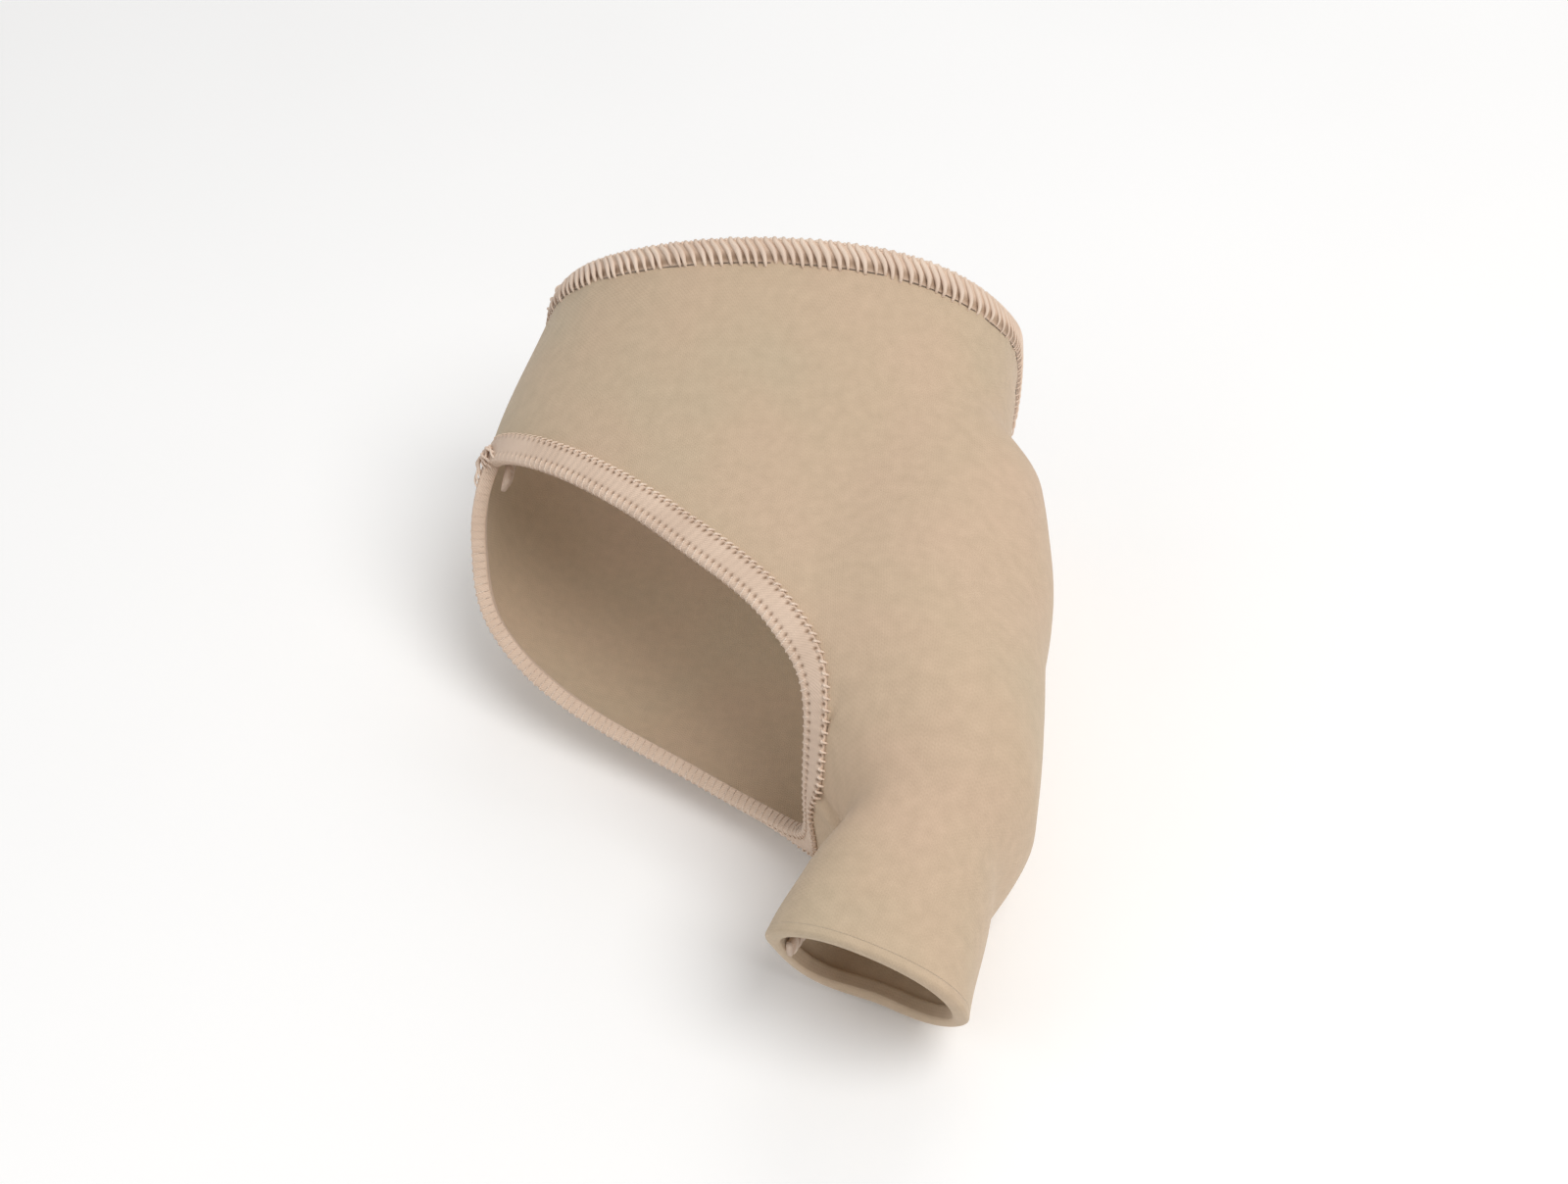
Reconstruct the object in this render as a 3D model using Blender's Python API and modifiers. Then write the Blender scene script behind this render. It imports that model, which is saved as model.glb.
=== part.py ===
"""Bunion protector: an elastic sleeve for the right foot, with a gel pad over the big toe's joint.

The sleeve is one knitted wall round the midfoot and the big toe, cut away for the other four toes.
All lengths are metres. x grows to the big toe's side, y to the heel and z upwards.
Inside the tables y starts at the web beside the big toe and z at the sole. The finished pieces are
moved so that the middle of the midfoot hollow is the origin.
"""
import math

import bmesh
import bpy
import numpy as np

# The midfoot tube
WEB_TO_HEEL = 0.0775        # web beside the big toe to the heel-side edge, over the instep
HEEL_EDGE_LEAN = 0.0130     # how much further back that edge lies under the sole
HEEL_INNER_LEAN = 0.0065    # and on the inner side, on top of what the sole's lean gives there
HEEL_OUTER_LEAN = 0.0085    # and on the outer side, likewise
OUTER_LEAN_FOCUS = 4        # how closely the outer lean keeps to the outer side
INNER_LEAN_FOCUS = 10       # how closely the inner lean keeps to the inner side
EDGE_CURL = 1.4             # more than 1 keeps both ends of the sleeve straight on top
INNER_REACH = 0.0400        # foot's axis to the inner side of the ball
OUTER_REACH = 0.0480        # foot's axis to the outer side of the ball
INSTEP_HEIGHT = 0.0600      # sole to the top of the instep, under the heel-side hem

# The big toe tube
TOE_LENGTH = 0.0240         # web to the end of the tube, over the toe
TOE_WIDTH = 0.0270
TOE_HEIGHT = 0.0245
TOE_AXIS = 0.0262           # foot's axis to the toe's axis
TOE_EDGE_LEAN = 0.0100      # how much further back the tube's end lies under the toe
TOE_EDGE_SKEW = 0.0036      # how much further forward it lies on the inner side than on top

# The opening for the four small toes
OPENING_FRONT = 0.0062      # its end beside the big toe
OPENING_BACK = 0.0558       # its end at the side seam
OPENING_TOP_ARC = math.radians(57)      # what it takes out of the top half of a section
OPENING_SOLE_ARC = math.radians(52)     # what it takes out of the sole's half
OPENING_SKEW = 1.75         # more than 1 moves its deepest cut towards the big toe
POINTED_BACK = 1.8          # 1 is a round end, more is a pointed one
POINTED_FRONT = 1.65
SEAM_TURN_BACK = math.radians(159)      # where both seams lie round the section
SEAM_TURN_FRONT = math.radians(180)

# Fullness of the sections: 2 is an ellipse, more is squarer
TOP_SQUARENESS = 2.3
SOLE_SQUARENESS = 2.8

# Walls and clearances
KNIT_THICKNESS = 0.0012
CLEARANCE = 0.0003

# The gel pad
PAD_LENGTH = 0.0620
PAD_HEIGHT = 0.0420
PAD_THICKNESS = 0.0045
PAD_RIM = 0.0012            # thickness left at its edge
PAD_CENTRE = 0.0305         # web to the pad's middle
PAD_SQUARENESS = 2.6
PAD_CLEARANCE = 0.0002      # more room over the pad than the knit keeps elsewhere
PAD_DOME = 4                # more than 2 keeps the pad flat in the middle and steep at the rim
PAD_SHOULDER = 0.7          # less than 1 rounds that shoulder

# The tent that the knit makes over the pad
TENT_SHOULDER = 0.80        # share of the way to the pad's rim at which the knit starts to fall
TENT_ALONG = 0.0050         # how far beyond the rim it comes down, along the foot
TENT_ROUND = 0.0120         # the same, round the foot

# Hems and seams
INSTEP_HEM_WIDTH = 0.0042
INSTEP_HEM_THICKNESS = 0.0011
FOREFOOT_HEM_WIDTH = 0.0038
FOREFOOT_HEM_THICKNESS = 0.0010
TOE_HEM_WIDTH = 0.0022
TOE_HEM_THICKNESS = 0.0007
SEAM_WIDTH = 0.0032
SEAM_THICKNESS = 0.0012
SEAM_STUB = 0.0022          # thread end that sticks out past each hem
SEAM_RAMP = 0.0040          # length over which a seam steps down from a hem to the knit
SEAM_REST = 0.0075          # length from its end over which it stays up
INNER_LEG = 0.7             # width of a folded hem's inner leg, as a share of its outer leg
EDGE_BEVEL = 0.4            # how far a tape's edge slopes, as a share of its thickness
FOLD_BULGE = 0.8            # how far its fold stands past the knit's edge, as the same share
FOLD_FLAT = 0.6             # flat part of the fold, as a share of the wall that it wraps
RIB_FLAT = 0.6              # flat part of a seam's top, as a share of its width

# Where the foot sits: the middle of the midfoot hollow, from the web, the foot's axis and the sole
MOUNT_ACROSS = -0.0040
MOUNT_ALONG = 0.0720
MOUNT_HEIGHT = 0.0260

# How the rows of the knit close up towards the inner side, where all but the end rows are even
BAND_FAN = 0.25             # share of the midfoot band that its rows leave free on the inner side
TOE_FAN = 0.15              # share of the toe tube that its rows leave free there

# Steps of the faceted solids
COLUMNS = 42
BAND_ROWS = 8
OPENING_ROWS = 22
TOE_ROWS = 6
INSTEP_HEM_STATIONS = 60
FOREFOOT_HEM_STATIONS = 72
TOE_HEM_STATIONS = 36
PAD_RINGS = 6
PAD_SPOKES = 32
SEAM_STATIONS = 20

# Colours
KNIT_COLOUR = (0.62, 0.46, 0.33)
TAPE_COLOUR = (0.71, 0.53, 0.41)
THREAD_COLOUR = (0.74, 0.56, 0.44)
GEL_COLOUR = (0.86, 0.84, 0.78)

# Sections of the foot, from the web to behind the heel-side edge.
# along: share of WEB_TO_HEEL. inner, outer: shares of INNER_REACH and OUTER_REACH.
# crown: share of INSTEP_HEIGHT. inner_belly, outer_belly: height of the widest place on each side,
# as shares of the crown. drift: how far the crown lies inward, as a share of the half width.
FOOT_SECTIONS = [
    # along  inner  outer  crown  inner_belly  outer_belly  drift
    (0.000, 0.962, -0.405, 0.530, 0.52, 0.46, 0.00),
    (0.070, 0.960, -0.310, 0.575, 0.54, 0.46, 0.00),
    (0.150, 0.962, -0.125, 0.620, 0.55, 0.44, 0.03),
    (0.250, 0.955, 0.200, 0.660, 0.56, 0.42, 0.06),
    (0.400, 0.940, 0.680, 0.700, 0.57, 0.40, 0.10),
    (0.510, 0.948, 0.870, 0.730, 0.57, 0.40, 0.13),
    (0.640, 0.912, 0.950, 0.780, 0.56, 0.40, 0.16),
    (0.800, 0.846, 0.960, 0.870, 0.54, 0.40, 0.18),
    (1.020, 0.835, 0.895, 1.010, 0.52, 0.40, 0.20),
    (1.220, 0.830, 0.830, 1.130, 0.50, 0.40, 0.20),
    (1.420, 0.825, 0.800, 1.260, 0.50, 0.40, 0.20),
]

# Sections of the big toe tube, from ahead of its end to the web.
# along: share of TOE_LENGTH, ahead of the web. inner, outer: shares of half of TOE_WIDTH.
# crown: share of TOE_HEIGHT.
TOE_SECTIONS = [
    # along  inner  outer  crown  inner_belly  outer_belly  drift
    (1.250, 0.760, 1.140, 0.900, 0.50, 0.50, 0.00),
    (0.770, 0.800, 1.100, 1.020, 0.50, 0.50, 0.00),
    (0.385, 0.880, 0.820, 1.140, 0.51, 0.48, 0.00),
]


def section_stations():
    """Both tables as one list of stations in metres, from the toe's end to the heel."""
    stations = []
    for along, inner, outer, crown, inner_belly, outer_belly, drift in TOE_SECTIONS:
        stations.append((
            -along * TOE_LENGTH,
            TOE_AXIS + inner * TOE_WIDTH / 2,
            TOE_AXIS - outer * TOE_WIDTH / 2,
            crown * TOE_HEIGHT, inner_belly, outer_belly, drift))
    for along, inner, outer, crown, inner_belly, outer_belly, drift in FOOT_SECTIONS:
        stations.append((
            along * WEB_TO_HEEL,
            inner * INNER_REACH,
            -outer * OUTER_REACH,
            crown * INSTEP_HEIGHT, inner_belly, outer_belly, drift))
    return np.array(stations)


def smooth_curve(knots, values, at):
    """Cubic Hermite curve through (knots, values), with slopes from each knot's two neighbours."""
    slopes = np.gradient(values, knots)
    at = np.clip(at, knots[0], knots[-1])
    cell = np.clip(np.searchsorted(knots, at, side="right") - 1, 0, len(knots) - 2)
    span = knots[cell + 1] - knots[cell]
    part = (at - knots[cell]) / span
    return (values[cell] * (1 + 2 * part) * (1 - part) ** 2
            + values[cell + 1] * part ** 2 * (3 - 2 * part)
            + slopes[cell] * span * part * (1 - part) ** 2
            - slopes[cell + 1] * span * part ** 2 * (1 - part))


def foot_form(along, turn):
    """The foot under the sleeve, as superellipse sections about a tilted line of widest places.

    turn is 0 on the inner side, a quarter turn on top and half a turn on the outer side.
    """
    stations = section_stations()
    inner, outer, crown, inner_belly, outer_belly, drift = (
        smooth_curve(stations[:, 0], stations[:, column], along) for column in range(1, 7))
    cosine = np.cos(turn)
    sine = np.sin(turn)
    power = np.where(sine >= 0, TOP_SQUARENESS, SOLE_SQUARENESS)
    reach = (np.abs(cosine) ** power + np.abs(sine) ** power) ** (-1 / power)
    sideways = reach * cosine
    upward = reach * sine
    half_width = (inner - outer) / 2
    belly = crown * (inner_belly * (1 + sideways) + outer_belly * (1 - sideways)) / 2
    raised = np.clip(upward, 0, 1)
    across = (inner + outer) / 2 + half_width * (sideways + drift * raised ** 2)
    height = belly + np.where(upward >= 0, (crown - belly) * upward, belly * upward)
    return np.stack([across, along, height], axis=-1)


def outward(along, turn):
    """Unit normals of the foot form, from small steps along and round it."""
    step = 1e-4
    lengthwise = foot_form(along + step, turn) - foot_form(along - step, turn)
    round_about = foot_form(along, turn + step) - foot_form(along, turn - step)
    normal = np.cross(round_about, lengthwise)
    return -normal / np.linalg.norm(normal, axis=-1, keepdims=True)


def girth_from_inner_side(along, turn):
    """Distance from the inner side's widest line, straight across the section."""
    return np.linalg.norm(foot_form(along, turn) - foot_form(along, np.zeros_like(turn)), axis=-1)


def pad_distance(along, turn):
    """0 at the pad's middle and 1 at its rim, by a superellipse in length and girth.

    The second value is the share of that distance which runs lengthwise.
    """
    lengthwise = (np.abs(along - PAD_CENTRE) / (PAD_LENGTH / 2)) ** PAD_SQUARENESS
    girth = girth_from_inner_side(along, turn)
    round_about = (girth / (PAD_HEIGHT / 2)) ** PAD_SQUARENESS
    whole = lengthwise + round_about
    return whole ** (1 / PAD_SQUARENESS), lengthwise / np.maximum(whole, 1e-9)


def knit_lift(along, turn):
    """How far the pad lifts the knit: fully up to the tent's shoulder, then down past the rim."""
    distance, lengthwise = pad_distance(along, turn)
    tent = (lengthwise * TENT_ALONG / (PAD_LENGTH / 2)
            + (1 - lengthwise) * TENT_ROUND / (PAD_HEIGHT / 2))
    fallen = np.clip((distance - TENT_SHOULDER) / (1 + tent - TENT_SHOULDER), 0, 1)
    return (PAD_THICKNESS + PAD_CLEARANCE) * (1 - fallen ** 2 * (3 - 2 * fallen))


def pad_thickness(along, turn):
    """Full in the middle, rounded down to the thin rim, and never up against the knit."""
    distance, _ = pad_distance(along, turn)
    rounded = PAD_RIM + (PAD_THICKNESS - PAD_RIM) * np.clip(1 - distance ** PAD_DOME, 0, 1) ** PAD_SHOULDER
    return np.minimum(rounded, knit_lift(along, turn) - PAD_CLEARANCE)


def on_knit(along, turn, height):
    """A point at a height over the middle of the knit's wall, along the foot form's normal."""
    lift = CLEARANCE + knit_lift(along, turn) + KNIT_THICKNESS / 2 + height
    return foot_form(along, turn) + outward(along, turn) * lift[..., None]


def opening_along(swing):
    """Where the four-toe opening's edge lies along the foot, from the side seam to the web."""
    back_share = ((1 + np.cos(swing)) / 2) ** OPENING_SKEW
    return OPENING_FRONT + (OPENING_BACK - OPENING_FRONT) * back_share


def seam_turn(swing):
    """The turn at which top and sole are sewn together, or would be beside the opening."""
    return SEAM_TURN_FRONT + (SEAM_TURN_BACK - SEAM_TURN_FRONT) * (1 + np.cos(swing)) / 2


def opening_arc(swing, arc):
    """How far from the seam's turn the opening's edge lies: 0 at both ends, most between."""
    pointed = POINTED_BACK + (POINTED_FRONT - POINTED_BACK) * (1 - np.cos(swing)) / 2
    return arc * np.clip(np.abs(np.sin(swing)), 0, 1) ** pointed


def edge_lag(turn):
    """How far an end of the tube lags behind its top, from 0 on top to 1 under the sole."""
    return ((1 - np.sin(turn)) / 2) ** EDGE_CURL


def heel_lean(turn):
    """How much further back than on top the heel-side edge lies at a turn."""
    inner = np.clip(np.cos(turn), 0, 1) ** INNER_LEAN_FOCUS
    outer = np.clip(-np.cos(turn), 0, 1) ** OUTER_LEAN_FOCUS
    return HEEL_EDGE_LEAN * edge_lag(turn) + HEEL_INNER_LEAN * inner + HEEL_OUTER_LEAN * outer


def toe_lean(turn):
    """How much further back than on top the toe tube's end lies at a turn."""
    return TOE_EDGE_LEAN * edge_lag(turn) - TOE_EDGE_SKEW * np.cos(turn)


def row_guides():
    """For each row of the knit: its outer and inner side along the foot, its swing and two shares.

    The shares say how much of the heel's lean and of the toe's lean the row takes.
    """
    band = np.linspace(0, 1, BAND_ROWS, endpoint=False)
    opening = np.linspace(0, 1, OPENING_ROWS + 1)
    toe = np.linspace(0, 1, TOE_ROWS + 1)[1:]
    inner_back = OPENING_BACK + (WEB_TO_HEEL - OPENING_BACK) * BAND_FAN
    inner_front = OPENING_FRONT - (TOE_LENGTH + OPENING_FRONT) * TOE_FAN
    outer_side = np.concatenate([
        WEB_TO_HEEL + (OPENING_BACK - WEB_TO_HEEL) * band,
        opening_along(math.pi * opening),
        OPENING_FRONT - (TOE_LENGTH + OPENING_FRONT) * toe])
    inner_side = np.concatenate([
        WEB_TO_HEEL + (inner_back - WEB_TO_HEEL) * band,
        inner_back + (inner_front - inner_back) * opening,
        inner_front - (TOE_LENGTH + inner_front) * toe])
    swing = np.concatenate([np.zeros(BAND_ROWS), math.pi * opening, np.full(TOE_ROWS, math.pi)])
    heel_share = np.concatenate([1 - band, np.zeros(OPENING_ROWS + 1 + TOE_ROWS)])
    toe_share = np.concatenate([np.zeros(BAND_ROWS + OPENING_ROWS + 1), toe])
    return np.stack([outer_side, inner_side, swing, heel_share, toe_share], axis=-1)


def row_place(guide, share):
    """Along and turn at a share of the way round a row, over the top first, then under the sole."""
    outer_side, inner_side, swing, heel_share, toe_share = guide
    over_top = (seam_turn(swing) - opening_arc(swing, OPENING_TOP_ARC)) * (1 - 2 * share)
    under_sole = (2 * math.pi - seam_turn(swing) - opening_arc(swing, OPENING_SOLE_ARC)) * (1 - 2 * share)
    turn = np.where(share < 0.5, over_top, under_sole)
    inward = (1 - np.cos(2 * math.pi * share)) / 2
    lean = heel_share * heel_lean(turn) + toe_share * toe_lean(turn)
    return outer_side + (inner_side - outer_side) * inward + lean, turn


def even_shares(points, shares, wanted):
    """The shares at which a line of points is cut into the wanted shares of its own length."""
    steps = np.linalg.norm(np.diff(points, axis=0), axis=1)
    walked = np.concatenate([[0], np.cumsum(steps)])
    return np.interp(wanted * walked[-1], walked, shares)


def knit_grid():
    """Rows of points in the middle of the knit's wall, evenly spaced round each half row."""
    half = COLUMNS // 2
    grid = []
    for guide in row_guides():
        shares = []
        for start in (0.0, 0.5):
            fine = start + np.linspace(0, 0.5, 121)
            along, turn = row_place(guide, fine)
            wanted = np.linspace(0, 1, half + 1)
            shares.append(even_shares(on_knit(along, turn, np.zeros(1)), fine, wanted))
        share = np.concatenate([shares[0][:-1], shares[1]])
        along, turn = row_place(guide, share)
        grid.append(on_knit(along, turn, np.zeros(1)))
    return np.array(grid)


def loop_places(along, turn, count):
    """A closed line on the knit, given as along and turn, cut into equal steps."""
    points = on_knit(along, turn, np.zeros(1))
    shares = np.linspace(0, 1, len(along))
    even = even_shares(points, shares, np.arange(count) / count)
    return np.interp(even, shares, along), np.interp(even, shares, turn)


def forefoot_edge(count):
    """The edge of the four-toe opening: over the top to the web, and back under the sole."""
    swing = np.linspace(0, 2 * math.pi, 801)
    top_part = -opening_arc(swing, OPENING_TOP_ARC)
    sole_part = opening_arc(swing, OPENING_SOLE_ARC)
    turn = seam_turn(swing) + np.where(swing < math.pi, top_part, sole_part)
    return loop_places(opening_along(swing), turn, count)


def heel_edge(count):
    """The heel-side edge, walked with the knit on its left as seen from outside."""
    along, turn = row_place(row_guides()[0], np.linspace(1, 0, 601))
    return loop_places(along, turn, count)


def toe_edge(count):
    """The edge at the toe's end, walked with the knit on its left as seen from outside."""
    along, turn = row_place(row_guides()[-1], np.linspace(0, 1, 601))
    return loop_places(along, turn, count)


def beside_edge(along, turn, inset, height):
    """Points beside a closed edge, inset into the knit and raised over the middle of its wall.

    The step along and round the foot form that moves a point squarely off the edge is found from
    the form's two slopes there, so a wide strip keeps to the curved surface.
    """
    flat = np.zeros(1)
    point = on_knit(along, turn, flat)
    tangent = np.roll(point, -1, axis=0) - np.roll(point, 1, axis=0)
    inward = np.cross(outward(along, turn), tangent)
    inward = inward / np.linalg.norm(inward, axis=-1, keepdims=True)
    step = 1e-4
    by_along = (on_knit(along + step, turn, flat) - on_knit(along - step, turn, flat)) / (2 * step)
    by_turn = (on_knit(along, turn + step, flat) - on_knit(along, turn - step, flat)) / (2 * step)
    along_square = np.sum(by_along * by_along, axis=-1)
    turn_square = np.sum(by_turn * by_turn, axis=-1)
    mixed = np.sum(by_along * by_turn, axis=-1)
    inward_along = np.sum(by_along * inward, axis=-1)
    inward_turn = np.sum(by_turn * inward, axis=-1)
    spread = along_square * turn_square - mixed ** 2
    along_step = (inward_along * turn_square - inward_turn * mixed) / spread
    turn_step = (inward_turn * along_square - inward_along * mixed) / spread
    places = along[:, None] + along_step[:, None] * inset
    turns = turn[:, None] + turn_step[:, None] * inset
    return on_knit(places, turns, height)


def binding_profile(width, thickness):
    """Section of a tape folded round the knit's edge, as insets and heights, in one closed loop."""
    wall = KNIT_THICKNESS / 2 + CLEARANCE
    outside = wall + thickness
    inner_width = width * INNER_LEG
    return np.array([
        (width, wall),
        (width - thickness * EDGE_BEVEL, outside),
        (-CLEARANCE, outside),
        (-CLEARANCE - thickness * FOLD_BULGE, wall * FOLD_FLAT),
        (-CLEARANCE - thickness * FOLD_BULGE, -wall * FOLD_FLAT),
        (-CLEARANCE, -outside),
        (inner_width - thickness * EDGE_BEVEL, -outside),
        (inner_width, -wall),
        (-CLEARANCE, -wall),
        (-CLEARANCE, wall),
    ])


def turned_profile(width, thickness):
    """Section of an edge that is turned in once: a narrow lip outside and a flat leg inside."""
    wall = KNIT_THICKNESS / 2
    under = wall + CLEARANCE
    return np.array([
        (-CLEARANCE, wall),
        (-CLEARANCE - thickness * FOLD_BULGE, 0),
        (-CLEARANCE - thickness * FOLD_BULGE, -wall),
        (-CLEARANCE, -under - thickness),
        (width - thickness * EDGE_BEVEL, -under - thickness),
        (width, -under),
        (-CLEARANCE, -under),
    ])


def new_piece(name, points, faces, colour, roughness):
    """A smooth mesh object with its own material, moved so that the mount is the origin."""
    mount = np.array([MOUNT_ACROSS, MOUNT_ALONG, MOUNT_HEIGHT])
    mesh = bpy.data.meshes.new(name)
    mesh.from_pydata([tuple(point) for point in points - mount], [], faces)
    mesh.update()
    shape = bmesh.new()
    shape.from_mesh(mesh)
    bmesh.ops.recalc_face_normals(shape, faces=shape.faces)
    shape.to_mesh(mesh)
    shape.free()
    mesh.shade_smooth()
    material = bpy.data.materials.new(name)
    material.use_nodes = True
    shader = material.node_tree.nodes["Principled BSDF"]
    shader.inputs["Base Color"].default_value = (*colour, 1)
    shader.inputs["Roughness"].default_value = roughness
    mesh.materials.append(material)
    piece = bpy.data.objects.new(name, mesh)
    bpy.data.collections["bunion_protector"].objects.link(piece)
    return piece


def loft_faces(rows, columns, closed_rows, closed_columns):
    """Quads between the points of a grid that is numbered row by row."""
    faces = []
    for row in range(rows if closed_rows else rows - 1):
        for column in range(columns if closed_columns else columns - 1):
            next_row = (row + 1) % rows
            next_column = (column + 1) % columns
            faces.append((
                row * columns + column, row * columns + next_column,
                next_row * columns + next_column, next_row * columns + column))
    return faces


def make_sleeve():
    """The knit: fanned rows, sewn shut along both seams, and given its wall by Solidify."""
    grid = knit_grid()
    rows, columns = grid.shape[:2]
    corner_of = list(range(rows * columns))
    for row in range(rows):
        if row <= BAND_ROWS or row >= BAND_ROWS + OPENING_ROWS:
            corner_of[row * columns + columns - 1] = row * columns
    kept = sorted(set(corner_of))
    number = {corner: place for place, corner in enumerate(kept)}
    faces = [
        tuple(number[corner_of[corner]] for corner in face)
        for face in loft_faces(rows, columns, False, False)]
    sleeve = new_piece("sleeve", grid.reshape(-1, 3)[kept], faces, KNIT_COLOUR, 0.85)
    wall = sleeve.modifiers.new("wall", "SOLIDIFY")
    wall.thickness = KNIT_THICKNESS
    wall.offset = 0


def make_hem(name, edge, profile, colour):
    """A hem: its section carried round a closed edge of the knit."""
    along, turn = edge
    points = beside_edge(along, turn, profile[:, 0], profile[:, 1])
    faces = loft_faces(len(along), len(profile), True, True)
    new_piece(name, points.reshape(-1, 3), faces, colour, 0.75)


def turn_at_girth(along, girth):
    """The turn at which the section lies a signed girth from its widest inner line."""
    turns = np.linspace(-math.pi / 2, math.pi / 2, 241)
    found = []
    for place, wanted in zip(along, girth):
        walked = girth_from_inner_side(np.full_like(turns, place), turns) * np.sign(turns)
        found.append(np.interp(wanted, walked, turns))
    return np.array(found)


def make_pad():
    """The gel pad: a lens whose inner face lies on the foot and whose outer face the knit clears."""
    spoke = 2 * math.pi * np.arange(PAD_SPOKES) / PAD_SPOKES
    squareness = (np.abs(np.cos(spoke)) ** PAD_SQUARENESS
                  + np.abs(np.sin(spoke)) ** PAD_SQUARENESS) ** (-1 / PAD_SQUARENESS)
    ring = np.linspace(0, 1, PAD_RINGS + 1)[1:]
    along = PAD_CENTRE + PAD_LENGTH / 2 * np.outer(ring, squareness * np.cos(spoke))
    girth = PAD_HEIGHT / 2 * np.outer(ring, squareness * np.sin(spoke))
    along = np.concatenate([[PAD_CENTRE], along.ravel()])
    girth = np.concatenate([[0.0], girth.ravel()])
    turn = turn_at_girth(along, girth)
    under = foot_form(along, turn)
    over = under + outward(along, turn) * pad_thickness(along, turn)[:, None]
    count = len(under)
    faces = []
    for face_start in (0, count):
        for place in range(PAD_SPOKES):
            beside = (place + 1) % PAD_SPOKES
            faces.append((face_start, face_start + 1 + place, face_start + 1 + beside))
            for inner_ring in range(PAD_RINGS - 1):
                inner = face_start + 1 + inner_ring * PAD_SPOKES
                outer = inner + PAD_SPOKES
                faces.append((inner + place, outer + place, outer + beside, inner + beside))
    rim = 1 + (PAD_RINGS - 1) * PAD_SPOKES
    for place in range(PAD_SPOKES):
        beside = (place + 1) % PAD_SPOKES
        faces.append((rim + place, rim + beside, count + rim + beside, count + rim + place))
    new_piece("gel_pad", np.concatenate([under, over]), faces, GEL_COLOUR, 0.35)


def make_seam(name, heel_end, toe_end, turn_at, heel_step, toe_step):
    """An overlocked seam: a flat rib inside the knit, which steps over the hems at its ends.

    heel_step and toe_step are how far it stands off at its ends to clear the hems' inner legs.
    """
    along = np.linspace(heel_end, toe_end, SEAM_STATIONS)
    turn = turn_at(along)
    rise_from_heel = np.clip((np.abs(along - heel_end) - SEAM_REST) / SEAM_RAMP, 0, 1)
    rise_from_toe = np.clip((np.abs(along - toe_end) - SEAM_REST) / SEAM_RAMP, 0, 1)
    stand_off = (KNIT_THICKNESS / 2 + CLEARANCE
                 + heel_step * (1 - rise_from_heel ** 2 * (3 - 2 * rise_from_heel))
                 + toe_step * (1 - rise_from_toe ** 2 * (3 - 2 * rise_from_toe)))
    step = 0.02
    radius = np.linalg.norm(foot_form(along, turn - step) - foot_form(along, turn), axis=-1) / step
    half = SEAM_WIDTH / 2
    profile = [(-half, 0.0), (-half * RIB_FLAT, 1.0), (half * RIB_FLAT, 1.0), (half, 0.0)]
    sides = [
        on_knit(along, turn - sideways / radius, -stand_off - deep * SEAM_THICKNESS)
        for sideways, deep in profile]
    points = np.stack(sides, axis=1)
    faces = loft_faces(SEAM_STATIONS, len(profile), False, True)
    faces.append(tuple(range(len(profile))))
    last = (SEAM_STATIONS - 1) * len(profile)
    faces.append(tuple(last + corner for corner in range(len(profile))))
    new_piece(name, points.reshape(-1, 3), faces, THREAD_COLOUR, 0.8)


def side_seam_turn(along):
    """The side seam's place round the section, the same all along it."""
    return np.full_like(along, SEAM_TURN_BACK)


def toe_seam_turn(along):
    """The toe seam's place round the section, the same all along it."""
    return np.full_like(along, SEAM_TURN_FRONT)


def make_seams():
    """The side seam with its two loose ends past the hems, and the short seam of the toe tube."""
    over_instep_hem = CLEARANCE + INSTEP_HEM_THICKNESS
    over_forefoot_hem = CLEARANCE + FOREFOOT_HEM_THICKNESS
    over_toe_hem = CLEARANCE + TOE_HEM_THICKNESS
    side_heel = WEB_TO_HEEL + heel_lean(SEAM_TURN_BACK)
    make_seam("side_seam", side_heel + INSTEP_HEM_THICKNESS + SEAM_STUB,
              OPENING_BACK - FOREFOOT_HEM_THICKNESS - SEAM_STUB,
              side_seam_turn, over_instep_hem, over_forefoot_hem)
    toe_end = -TOE_LENGTH + toe_lean(SEAM_TURN_FRONT)
    make_seam("toe_seam", OPENING_FRONT, toe_end,
              toe_seam_turn, over_forefoot_hem, over_toe_hem)


def main():
    for thing in list(bpy.data.objects):
        bpy.data.objects.remove(thing)
    collection = bpy.data.collections.new("bunion_protector")
    bpy.context.scene.collection.children.link(collection)
    make_sleeve()
    make_pad()
    make_hem("instep_hem", heel_edge(INSTEP_HEM_STATIONS),
             binding_profile(INSTEP_HEM_WIDTH, INSTEP_HEM_THICKNESS), THREAD_COLOUR)
    make_hem("forefoot_hem", forefoot_edge(FOREFOOT_HEM_STATIONS),
             binding_profile(FOREFOOT_HEM_WIDTH, FOREFOOT_HEM_THICKNESS), TAPE_COLOUR)
    make_hem("toe_hem", toe_edge(TOE_HEM_STATIONS),
             turned_profile(TOE_HEM_WIDTH, TOE_HEM_THICKNESS), KNIT_COLOUR)
    make_seams()


main()
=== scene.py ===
"""Looks of the bunion protector: knitted sleeve, sewn hems, overlocked seams and gel pad.

The surfaces follow the same sections as the solids. Lengths are metres, x grows to the big toe's
side, y to the heel and z upwards. Inside the tables y starts at the web beside the big toe and z
at the sole, and new_piece moves everything so that the mount is the origin.
"""
import math

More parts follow.
